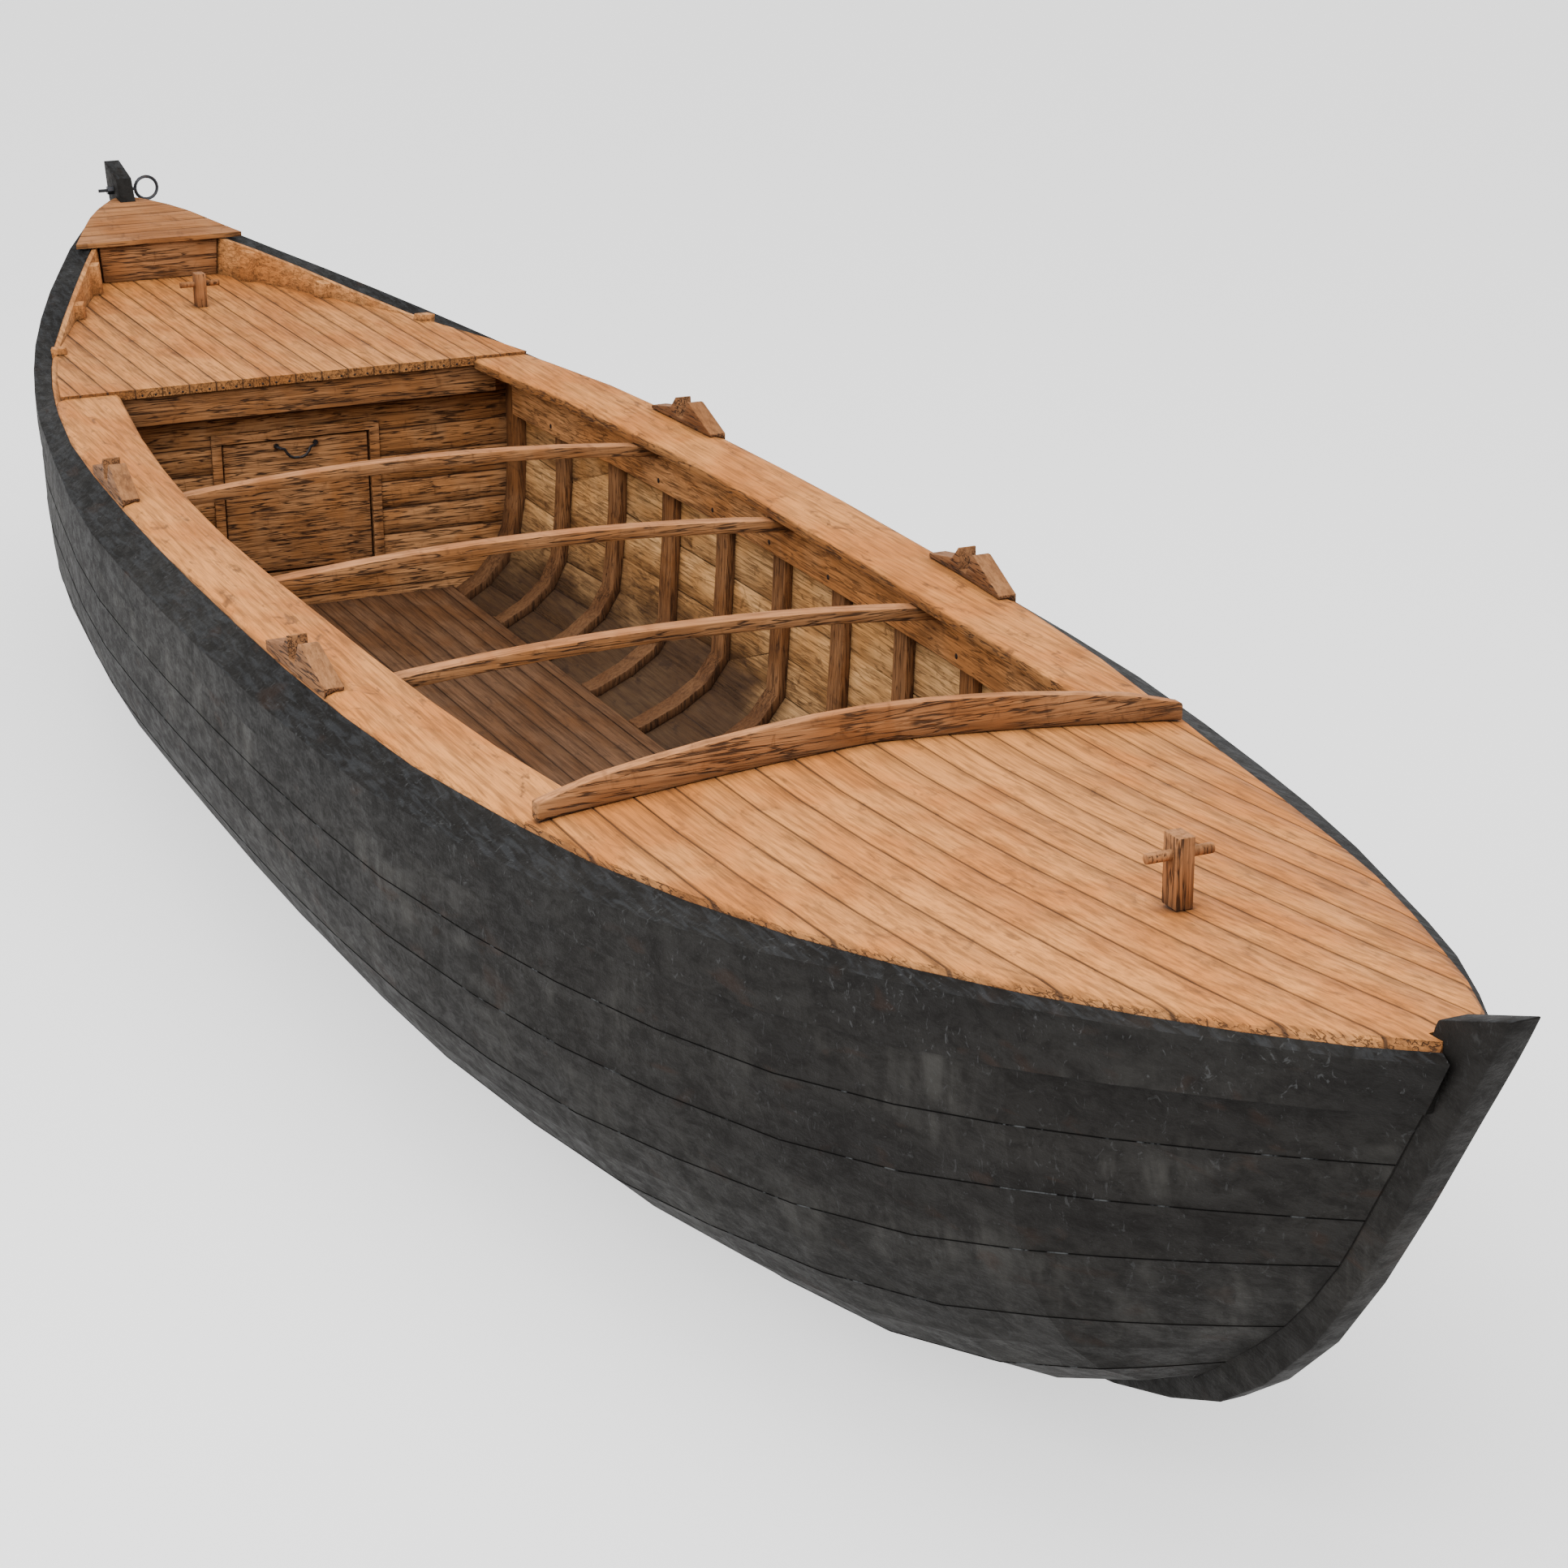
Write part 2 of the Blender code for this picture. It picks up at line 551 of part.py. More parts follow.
def build_backbone():
    """Keel, bow stem and stern post."""
    top = 0.0345
    keel_x = [-2.90, -2.570, -2.310, -1.510, -0.285, 0.930, 1.740, 2.150, 2.500, 2.83, 2.8997]
    rings = []
    for x in keel_x:
        bottom = KEEL_BOTTOM
        if abs(x) > 2.3:
            bottom += 0.015 * ((abs(x) - 2.3) / 0.6) ** 2
        high = rabbet_z(x) + top - 0.001
        rings.append([(x, y, z) for y, z in ((-HALF_KEEL, bottom), (HALF_KEEL, bottom),
                                             (HALF_KEEL, high), (-HALF_KEEL, high))])
    loft("keel", rings, "tarred")

    def timber(name, rows):
        rings = [[(ox, -HALF_KEEL, oz), (ox, HALF_KEEL, oz), (ix, HALF_KEEL, iz), (ix, -HALF_KEEL, iz)]
                 for ox, oz, ix, iz in rows]
        return loft(name, rings, "tarred")

    timber("bow_stem", BOW_STEM)
    short = STERN_SHORTER
    rows = [(-(ox - short), oz, -(ix - short), iz) for ox, oz, ix, iz in BOW_STEM[:10]]
    rows[0] = (-2.9003, BOW_STEM[0][1], -2.9003, BOW_STEM[0][3])
    post = timber("stern_post", rows + STERN_HEAD)
    x, y, z = RING_BOLT
    hole = tube("ring_bolt_hole", [(x, -0.10, z), (x, 0.10, z)], [0.0078, 0.0078], 12, "iron")
    combine(post, hole, "DIFFERENCE")


def build_covering_boards():
    xs = [DECK_EDGE_AFT] + [x for x in BODY_X if -2.0 < x < 2.2] + [DECK_JOINT - GAP]
    for side_name, side in SIDES:
        rings = []
        for x in xs:
            yi, zi, yo, zo = board_y(x), board_z(x), deck_edge_y(x), deck_edge_z(x)
            ring = [(yi, zi - 0.035), (yi, zi - 0.009), (yi + 0.011, zi), (yo - 0.030, zo + 0.018),
                    (yo - 0.008, zo + 0.011), (yo, zo + 0.0008), (yo, zo - 0.0175)]
            rings.append(mirrored([(x, y, z) for y, z in ring], side))
        loft(f"covering_board_{side_name}", rings, "deck")


def crown(x, y):
    """Rise of the fore deck above its edge."""
    b = deck_edge_y(x)
    return 0.078 * b * (1 - min(abs(y) / b, 1.0) ** 1.35)


def fore_deck_top(x, y):
    return deck_edge_z(x) + 0.018 + crown(x, y)


def deck_station_x(x0, x1):
    xs = [st.deck_edge()[0] for st in STATIONS]
    return [x0] + [x for x in xs if x0 + 0.03 < x < x1 - 0.01] + [x1]


DECK_ACROSS = (0.92, 0.7, 0.45, 0.22, 0.0)
FORE_DECK_END = 4.416


def fore_deck_facet(x, y):
    """Top of the fore deck on its flat facets."""
    xs = deck_station_x(DECK_JOINT, FORE_DECK_END)
    i = max(k for k in range(len(xs) - 1) if xs[k] <= x)
    t = (x - xs[i]) / (xs[i + 1] - xs[i])
    ys, zs = [], []
    for f in reversed((1.0,) + DECK_ACROSS):
        b0, b1 = deck_edge_y(xs[i]) * f, deck_edge_y(xs[i + 1]) * f
        z0, z1 = fore_deck_top(xs[i], b0), fore_deck_top(xs[i + 1], b1)
        ys.append(b0 + (b1 - b0) * t)
        zs.append(z0 + (z1 - z0) * t)
    return float(np.interp(abs(y), ys, zs))


def build_fore_deck():
    rings = []
    for x in deck_station_x(DECK_JOINT, FORE_DECK_END):
        b = deck_edge_y(x)
        z = deck_edge_z(x)
        top = [(b * f, fore_deck_top(x, b * f)) for f in DECK_ACROSS]
        top = [(b, z + 0.0008), (b - 0.004, z + 0.014)] + top
        low = [(y, zz - DECK_THICK) for y, zz in top[2:]]
        low = [(b, z - 0.012)] + low
        right = [(-y, zz) for y, zz in reversed(top[:-1])]
        low_right = [(-y, zz) for y, zz in low]
        ring = top + right + low_right[:-1] + list(reversed(low))
        rings.append([(x, y, zz) for y, zz in ring])
    deck = loft("fore_deck", rings, "deck")
    combine(deck, box("stem_notch", 4.3755, 4.6, -0.0306, 0.0306, 0.8, 1.1, "deck"), "DIFFERENCE")


def build_washboard():
    """The low curved coaming across the boat at the aft edge of the fore deck."""
    x0, x1 = DECK_JOINT, 2.271
    half = 0.785
    rings = []
    for i in range(-6, 7):
        y = half * i / 6
        foot = max(fore_deck_facet(x0, y), fore_deck_facet(x1, y)) + 0.001
        top = 0.891 - 0.089 * abs(y / half) ** 1.8
        if abs(i) == 6:
            top -= 0.012
        rings.append([(x0, y, foot), (x1, y, foot), (x1, y, top), (x0, y, top)])
    loft("washboard", rings, "deck")


def build_stern_decks():
    """Stern deck between the bulwarks, raised deck over the stern, and the cuddy face between them."""
    rings = []
    for x in deck_station_x(-3.903, DECK_EDGE_AFT - GAP):
        under = STERN_DECK_TOP - DECK_THICK
        low, high = [bulwark_inner(x, z) - 0.0015 for z in (under, STERN_DECK_TOP)]
        ring = [(-low, under), (low, under), (high, STERN_DECK_TOP), (-high, STERN_DECK_TOP)]
        rings.append([(x, y, z) for y, z in ring])
    loft("stern_deck", rings, "deck")
    rings = []
    for x, b in RAISED_EDGE:
        z = deck_edge_z(x)
        low, high = z + 0.0110, z + 0.028
        rings.append([(x, -b, low), (x, b, low), (x, b, high), (x, -b, high)])
    deck = loft("raised_stern_deck", rings, "deck")
    combine(deck, box("post_notch", -4.6, -4.3175, -0.0306, 0.0306, 0.8, 1.1, "deck"), "DIFFERENCE")
    top = deck_edge_z(-3.880) + 0.0095
    low_b, high_b = [bulwark_inner(-3.90, z) - 0.0015 for z in (STERN_DECK_TOP, top)]
    ring = [(-low_b, STERN_DECK_TOP + GAP), (low_b, STERN_DECK_TOP + GAP), (high_b, top), (-high_b, top)]
    loft("cuddy_face", [[(x, y, z) for y, z in ring] for x in (-3.900, -3.880)], "frame")


def bulwark_low(x):
    """Lower edge of the bulwark plank: half breadth of its outer face, z."""
    z = max(STERN_DECK_TOP - 0.050, deck_edge_z(x) - 0.050) if x < -3.92 else STERN_DECK_TOP - 0.050
    return min(deck_edge_y(x), outer_y(x, z) - 0.046), z


def bulwark_inner(x, z):
    """Half breadth of the bulwark's inner face at height z."""
    y0, z0 = bulwark_low(x)
    y1, z1 = deck_edge_y(x), deck_edge_z(x) + 0.010
    return y0 - 0.035 + (y1 - y0 + 0.013) * (z - z0) / (z1 - z0)


def build_bulwarks():
    """Inner bulwark planks round the stern deck, each with three short stanchions."""
    posts = [-3.690, -3.270, -2.715]
    for side_name, side in SIDES:
        rings = []
        for x in deck_station_x(-4.114, DECK_EDGE_AFT - 2 * GAP):
            b, z = deck_edge_y(x), deck_edge_z(x)
            y_low, low = bulwark_low(x)
            rise = 0.010 if x > -3.87 else 0.003
            ring = [(y_low - 0.035, low), (y_low, low), (b, z + rise - 0.006), (b - 0.006, z + rise),
                    (b - 0.022, z + rise)]
            rings.append(mirrored([(x, y, zz) for y, zz in ring], side))
        bulwark = loft(f"bulwark_{side_name}", rings, "deck")
        for x in posts:
            rings = []
            for px in (x - 0.022, x + 0.022):
                foot = STERN_DECK_TOP + 0.001
                head = max(deck_edge_z(px) + 0.005, foot + 0.020)
                y0, y1 = bulwark_inner(px, foot), bulwark_inner(px, head)
                ring = [(y0 - 0.031, foot), (y0 + 0.004, foot), (y0 + 0.004, foot - 0.030), (y0 + 0.018, foot - 0.030),
                        (y1 + 0.018, head), (y1 - 0.031, head)]
                rings.append(mirrored([(px, y, zz) for y, zz in ring], side))
            combine(bulwark, loft("stanchion", rings, "frame"), "UNION")


def bulkhead_outline(x, top):
    """Half outline of a bulkhead that fits inside the lining."""
    pts = []
    for y, z in lining_at(x)[1:]:
        pts.append((max(y - 0.0012, 0.0), z + 0.0012))
    y0, z0 = pts[0]
    crowned = []
    if x < 0:
        step = bulwark_inner(HOLD_AFT - 0.030, 0.715) - 0.006
        crowned = [(step, top), (step + 0.001, 0.707)]
    else:
        crowned = [(y, fore_deck_facet(x, y) - DECK_THICK - 0.004) for y in (0.04, 0.20, 0.40, 0.58)]
    return crowned + [(y0 - 0.004, 0.704)] + pts


def build_bulkheads():
    for name, x0, x1, top in (("aft_bulkhead", HOLD_AFT - 0.030, HOLD_AFT, STERN_DECK_TOP - DECK_THICK - GAP),
                              ("fore_bulkhead", HOLD_FORE, HOLD_FORE + 0.030, 0.704)):
        faces = []
        for x in (x0, x1):
            half = bulkhead_outline(x, top)
            ring = half[:-1] + [(0.0, half[-1][1])] + [(-y, z) for y, z in reversed(half[:-1])]
            faces.append([(x, y, z) for y, z in ring])
        n = len(faces[0]) // 2
        rings = []
        for i in range(n + 1):
            j = len(faces[0]) - 1 - i
            if i == n:
                a0, a1 = faces[0][i], faces[1][i]
                rings.append([a0, (x0, a0[1] + 0.004, a0[2]), (x1, a1[1] + 0.004, a1[2]), a1])
            else:
                rings.append([faces[0][i], faces[0][j], faces[1][j], faces[1][i]])
        obj = loft(name, rings[:-1], "frame")
        if name == "aft_bulkhead":
            cut = box("door_hole", x0 - 0.05, x1 + 0.05, -DOOR_HALF, DOOR_HALF, DOOR_LOW, DOOR_HIGH, "frame")
            combine(obj, cut, "DIFFERENCE")


def build_door():
    """Drop-down door of the stern cuddy, hinged along its lower front edge, with its frame and pull."""
    lip = 0.034
    outer = [(-DOOR_HALF - lip, DOOR_LOW - lip), (DOOR_HALF + lip, DOOR_LOW - lip),
             (DOOR_HALF + lip, DOOR_HIGH + lip), (-DOOR_HALF - lip, DOOR_HIGH + lip)]
    inner = [(-DOOR_HALF, DOOR_LOW), (DOOR_HALF, DOOR_LOW), (DOOR_HALF, DOOR_HIGH), (-DOOR_HALF, DOOR_HIGH)]
    x0, x1 = HOLD_AFT + GAP, HOLD_AFT + 0.010
    rings = [[(x0, *outer[i]), (x1, *outer[i]), (x1, *inner[i]), (x0, *inner[i])] for i in range(4)]
    loft("cuddy_door_frame", rings, "frame", closed=True)
    c = DOOR_CLEAR
    door = box("cuddy_door", HOLD_AFT - DOOR_THICK, HOLD_AFT, -DOOR_HALF + c, DOOR_HALF - c, DOOR_LOW + c,
               DOOR_HIGH - c, "frame")
    face = HOLD_AFT + GAP
    half = [(0.068, 0.000, 0.500), (0.068, 0.007, 0.500), (0.067, 0.014, 0.499), (0.058, 0.021, 0.495),
            (0.046, 0.022, 0.492), (0.038, 0.023, 0.478), (0.028, 0.024, 0.466), (0.014, 0.025, 0.460)]
    radii = [0.0095, 0.0095, 0.0055, 0.005, 0.005, 0.005, 0.005, 0.005]
    path = [(face + dx, y, z) for y, dx, z in half] + [(face + dx, -y, z) for y, dx, z in reversed(half)]
    pull = tube("cuddy_door_pull", path, radii + radii[::-1], 8, "iron")
    pivot = (HOLD_AFT, 0.0, DOOR_LOW + c)
    for obj in (door, pull):
        for v in obj.data.vertices:
            v.co.x -= pivot[0]
            v.co.z -= pivot[2]
        obj.location = pivot


def build_hold_timbers():
    """Sole, clamps, the beam under the stern deck's edge and the three cross beams."""
    rings = []
    for x, half in SOLE_EDGE:
        rings.append([(x, -half, SOLE_TOP - SOLE_THICK), (x, half, SOLE_TOP - SOLE_THICK), (x, half, SOLE_TOP),
                      (x, -half, SOLE_TOP)])
    loft("hold_sole", rings, "sole")
    clamp_x = [-2.055] + [x for x in HOLD_X if -2.0 < x < 2.14] + [2.200]
    for side_name, side in SIDES:
        rings = []
        for x in clamp_x:
            ys = []
            for z in (0.55, 0.69):
                pts = lining_at(x)
                ys.append(float(np.interp(z, [p[1] for p in reversed(pts)], [p[0] for p in reversed(pts)])))
            y0 = ys[0] - FRAME_MOULDING - 0.0025
            y1 = ys[1] - FRAME_MOULDING - 0.0025
            y1 = min(y0, y1)
            y0 = y1
            top = min(board_bottom(x, y1 - 0.028), board_bottom(x, y1)) - 0.0006
            ring = [(y0, 0.550), (y1, top), (y1 - 0.028, top), (y0 - 0.028, 0.550)]
            rings.append(mirrored([(x, y, z) for y, z in ring], side))
        loft(f"clamp_{side_name}", rings, "deck")
    high = STERN_DECK_TOP - DECK_THICK - GAP
    box("stern_deck_beam", -2.135, -2.080, -0.690, 0.690, high - 0.100, high, "frame")
    for number, fore in enumerate(BEAMS, 1):
        y_in = []
        for x in (fore - BEAM_WIDTH, fore):
            pts = lining_at(x)
            y_in.append(float(np.interp(0.69, [p[1] for p in reversed(pts)], [p[0] for p in reversed(pts)])))
            y_in.append(float(np.interp(0.55, [p[1] for p in reversed(pts)], [p[0] for p in reversed(pts)])))
        half = min(y_in) - FRAME_MOULDING - 0.0025 - 0.028 - 0.0006
        end = board_bottom(fore, board_y(fore)) - 0.0115
        rings = []
        for i in range(-5, 6):
            y = half * i / 5
            top = end + BEAM_CAMBER * (1 - (y / half) ** 2)
            rings.append([(fore - BEAM_WIDTH, y, top - BEAM_DEPTH), (fore, y, top - BEAM_DEPTH), (fore, y, top),
                          (fore - BEAM_WIDTH, y, top)])
        loft(f"cross_beam_{number}", rings, "deck")


def build_fittings():
    """Rowlocks, bitts and the ring bolt."""
    for where, x0 in ROWLOCKS:
        for side_name, side in SIDES:
            rings = []
            for dx, height in ROWLOCK:
                x = x0 + dx
                b, z = deck_edge_y(x), deck_edge_z(x)
                base = z + 0.018 + GAP
                ring = [(b - 0.052, base + 0.001), (b - 0.030, base + 0.001), (b - 0.008, z + 0.0123),
                        (b - 0.001, z + 0.0045), (b - 0.001, base + height), (b - 0.052, base + height)]
                rings.append(mirrored([(x, y, zz) for y, zz in ring], side))
            loft(f"rowlock_{where}_{side_name}", rings, "frame")
    for name, fore, head in BITTS:
        foot = STERN_DECK_TOP + 0.0005
        if fore > 0:
            foot = max(fore_deck_facet(x, 0.0) for x in (fore - 0.054, fore)) + 0.0005
        post = box(name, fore - 0.054, fore, -0.018, 0.018, foot, head, "frame")
        x, z = fore - 0.027, head - 0.039
        pin = tube("pin", [(x, -0.072, z), (x, 0.072, z)], [0.0105, 0.0105], 12, "frame")
        combine(post, pin, "UNION")
    x, y, z = RING_BOLT
    major, minor, around, sides = 0.0435, 0.0065, 20, 8
    rings = []
    for i in range(around):
        a = 2 * math.pi * i / around
        ring = []
        for j in range(sides):
            b = 2 * math.pi * j / sides
            r = major + minor * math.cos(b)
            ring.append((x + minor * math.sin(b), y + r * math.cos(a), z + r * math.sin(a)))
        rings.append(ring)
    ring = loft("ring_bolt", rings, "iron", closed=True, smooth=True)
    face = HALF_KEEL + GAP
    shank = tube("shank", [(x, -0.088, z), (x, y - major, z)], [0.0065, 0.0065], 12, "iron")
    nut = tube("nut", [(x, -face - 0.024, z), (x, -face, z)], [0.017, 0.017], 6, "iron")
    collar = tube("collar", [(x, face, z), (x, face + 0.012, z)], [0.013, 0.013], 12, "iron")
    for piece in (shank, nut, collar):
        combine(ring, piece, "UNION")


def main():
    clear_scene()
    build_backbone()
    build_planking()
    build_lining()
    build_frames()
    build_covering_boards()
    build_fore_deck()
    build_washboard()
    build_stern_decks()
    build_bulwarks()
    build_bulkheads()
    build_door()
    build_hold_timbers()
    build_fittings()


main()
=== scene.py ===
"""Dresses the open wooden cargo boat: planked decks, tarred hull, caulking, nails and camera."""
from __future__ import annotations

import logging
import math
from dataclasses import dataclass
from enum import Enum
from typing import Iterable, Sequence

import bmesh
import bpy
from mathutils import Matrix, Vector
from mathutils.bvhtree import BVHTree
from mathutils.kdtree import KDTree

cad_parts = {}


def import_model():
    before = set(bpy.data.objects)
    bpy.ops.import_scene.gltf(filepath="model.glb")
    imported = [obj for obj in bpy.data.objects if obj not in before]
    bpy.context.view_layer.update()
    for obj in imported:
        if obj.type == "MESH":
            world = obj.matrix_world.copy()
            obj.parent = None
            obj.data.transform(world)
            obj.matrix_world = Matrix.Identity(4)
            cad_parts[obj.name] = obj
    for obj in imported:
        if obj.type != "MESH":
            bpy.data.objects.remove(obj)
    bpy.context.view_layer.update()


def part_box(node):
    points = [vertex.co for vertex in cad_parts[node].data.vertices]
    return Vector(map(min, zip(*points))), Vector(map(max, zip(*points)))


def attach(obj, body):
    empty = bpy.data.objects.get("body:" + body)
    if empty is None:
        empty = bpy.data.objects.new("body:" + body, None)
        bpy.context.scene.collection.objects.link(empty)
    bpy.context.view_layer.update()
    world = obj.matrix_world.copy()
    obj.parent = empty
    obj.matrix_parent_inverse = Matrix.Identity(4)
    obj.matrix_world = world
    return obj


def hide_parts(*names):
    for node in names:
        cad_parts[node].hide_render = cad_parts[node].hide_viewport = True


log = logging.getLogger("cargo_boat")
Color = tuple[float, float, float]
SIDES = ("port", "starboard")
FRAMES = tuple(f"frame_{number:02d}" for number in range(1, 12))
HULL = "hull"
DOOR = "door"


GLOSS = "Specular IOR Level"


@dataclass(frozen=True)
class PlankRow:
    """Even row of planks along one axis: their width and the place of one seam."""

    axis: str
    pitch: float
    offset: float = 0.0

    def seams(self, numbers: Iterable[int]) -> tuple[float, ...]:
        """Place the seams with the given numbers.

        Args:
            numbers: how many planks each seam lies from the offset.

        Returns:
            Their places on the axis.
        """
        return tuple(self.offset + k * self.pitch for k in numbers)


FORE_ROW = PlankRow("Y", 0.094)
STERN_ROW = PlankRow("Y", 0.0898, -0.016)
RAISED_ROW = PlankRow("X", 0.1, -3.95)
SOLE_ROW = PlankRow("Y", 0.0753, 0.0376)
BULKHEAD_ROW = PlankRow("Z", 0.0925, 0.519)


class Grain(Enum):
    """Direction in which the fibres of a timber run."""

    ALONG = "XYZ"
    ACROSS = "YXZ"
    UPRIGHT = "ZXY"


class NodeGraph:
    """Node graph of one material, with a short call for each kind of node."""

    def __init__(self, name: str) -> None:
        """Start an empty material with its shader and output.

        Args:
            name: name of the material.
        """
        self.material = bpy.data.materials.new(name)
        self.material.use_nodes = True
        self.tree = self.material.node_tree
        self.tree.nodes.clear()
        self.shader = self.tree.nodes.new("ShaderNodeBsdfPrincipled")
        output = self.tree.nodes.new("ShaderNodeOutputMaterial")
        self.tree.links.new(self.shader.outputs[0], output.inputs[0])
        self.place = self.tree.nodes.new("ShaderNodeTexCoord").outputs["Object"]

    def put(self, socket: bpy.types.NodeSocket, value: object) -> None:
        """Link a socket, or set its number or colour.

        Args:
            socket: input to fill.
            value: another node's output, a number or a tuple.
        """
        if isinstance(value, bpy.types.NodeSocket):
            self.tree.links.new(value, socket)
        elif isinstance(value, tuple) and socket.type == "RGBA":
            socket.default_value = (*value[:3], 1.0)
        else:
            socket.default_value = value

    def math(self, kind: str, *values: object) -> bpy.types.NodeSocket:
        """Add a Math node.

        Args:
            kind: operation.
            values: its inputs in order.

        Returns:
            The output of the node.
        """
        node = self.tree.nodes.new("ShaderNodeMath")
        node.operation = kind
        for socket, value in zip(node.inputs, values):
            self.put(socket, value)
        return node.outputs[0]

    def swap(self, order: str) -> bpy.types.NodeSocket:
        """Reorder the object coordinates.

        Args:
            order: letters of the axes that take the places of X, Y and Z.

        Returns:
            The reordered vector.
        """
        if order == "XYZ":
            return self.place
        split = self.tree.nodes.new("ShaderNodeSeparateXYZ")
        self.put(split.inputs[0], self.place)
        join = self.tree.nodes.new("ShaderNodeCombineXYZ")
        for socket, letter in zip(join.inputs, order):
            self.put(socket, split.outputs[letter])
        return join.outputs[0]

    def axis(self, vector: bpy.types.NodeSocket, letter: str) -> bpy.types.NodeSocket:
        """Take one component of a vector."""
        split = self.tree.nodes.new("ShaderNodeSeparateXYZ")
        self.put(split.inputs[0], vector)
        return split.outputs[letter]

    def noise(self, vector: bpy.types.NodeSocket, scale: Sequence[float], detail: float,
              rough: float = 0.55, twist: float = 0.0, shift: float = 0.0) -> bpy.types.NodeSocket:
        """Add stretched noise.

        Args:
            vector: coordinates.
            scale: waves in a metre along each axis.
            detail: octaves.
            rough: weight of the finer octaves.
            twist: distortion.
            shift: offset, to get a different pattern.

        Returns:
            The noise, near 0.5 on average.
        """
        mapping = self.tree.nodes.new("ShaderNodeMapping")
        mapping.inputs["Scale"].default_value = tuple(scale)
        mapping.inputs["Location"].default_value = (shift, shift * 0.7, shift * 1.3)
        self.put(mapping.inputs["Vector"], vector)
        node = self.tree.nodes.new("ShaderNodeTexNoise")
        self.put(node.inputs["Vector"], mapping.outputs[0])
        settings = {"Scale": 1.0, "Detail": detail, "Roughness": rough, "Distortion": twist}
        for name, value in settings.items():
            node.inputs[name].default_value = value
        return node.outputs["Fac"]

    def between(self, value: object, low: float, high: float, to_low: float = 0.0,
                to_high: float = 1.0) -> bpy.types.NodeSocket:
        """Map a range smoothly onto another.

        Args:
            value: input.
            low: value that gives to_low.
            high: value that gives to_high.
            to_low: result at and before low.
            to_high: result at and after high.

        Returns:
            The mapped value.
        """
        node = self.tree.nodes.new("ShaderNodeMapRange")
        node.interpolation_type = "SMOOTHSTEP"
        for socket, number in zip(node.inputs, (value, low, high, to_low, to_high)):
            self.put(socket, number)
        return node.outputs[0]

    def mix(self, amount: object, first: object, second: object,
            blend: str = "MIX") -> bpy.types.NodeSocket:
        """Mix two colours.

        Args:
            amount: share of the second one.
            first: colour or output.
            second: colour or output.
            blend: blend type.

        Returns:
            The mixed colour.
        """
        node = self.tree.nodes.new("ShaderNodeMix")
        node.data_type = "RGBA"
        node.blend_type = blend
        self.put(node.inputs[0], amount)
        self.put(node.inputs[6], first)
        self.put(node.inputs[7], second)
        return node.outputs[2]

    def facing_up(self) -> bpy.types.NodeSocket:
        """Return 1 on surfaces that face up, and 0 on upright ones."""
        normal = self.tree.nodes.new("ShaderNodeNewGeometry").outputs["Normal"]
        return self.between(self.axis(normal, "Z"), 0.45, 0.85)

    def corner_shade(self, reach: float) -> bpy.types.NodeSocket:
        """Return 0 in corners and 1 in the open, from ambient occlusion: the mask for painted corner shade.

        Args:
            reach: distance over which a neighbour darkens the corner.

        Returns:
            The openness of the place.
        """
        node = self.tree.nodes.new("ShaderNodeAmbientOcclusion")
        node.samples = 1
        node.inputs["Distance"].default_value = reach
        return self.between(node.outputs["AO"], 0.25, 0.95)

    def finish(self, color: object, rough: object, height: object, depth: float,
               strength: float = 1.0) -> bpy.types.Material:
        """Set colour, roughness and relief.

        Args:
            color: base colour.
            rough: roughness.
            height: relief, 0 to 1.
            depth: metres that a height of 1 stands for.
            strength: share of the relief that shows.

        Returns:
            The finished material.
        """
        bump = self.tree.nodes.new("ShaderNodeBump")
        bump.inputs["Strength"].default_value = strength
        bump.inputs["Distance"].default_value = depth
        self.put(bump.inputs["Height"], height)
        self.put(self.shader.inputs["Base Color"], color)
        self.put(self.shader.inputs["Roughness"], rough)
        self.put(self.shader.inputs["Normal"], bump.outputs[0])
        return self.material


TAN: Color = (0.62, 0.245, 0.060)
SIDE: Color = (0.37, 0.160, 0.050)
DARK: Color = (0.085, 0.034, 0.013)
SUN_TINT: Color = (0.80, 0.68, 0.52)
SPLIT_BLACK: Color = (0.01, 0.006, 0.004)
JOINT_BROWN: Color = (0.030, 0.014, 0.007)
GROOVE_BLACK: Color = (0.018, 0.009, 0.005)
BILGE_BLACK: Color = (0.022, 0.012, 0.008)
CORNER_SHADE_BROWN: Color = (0.03, 0.014, 0.007)


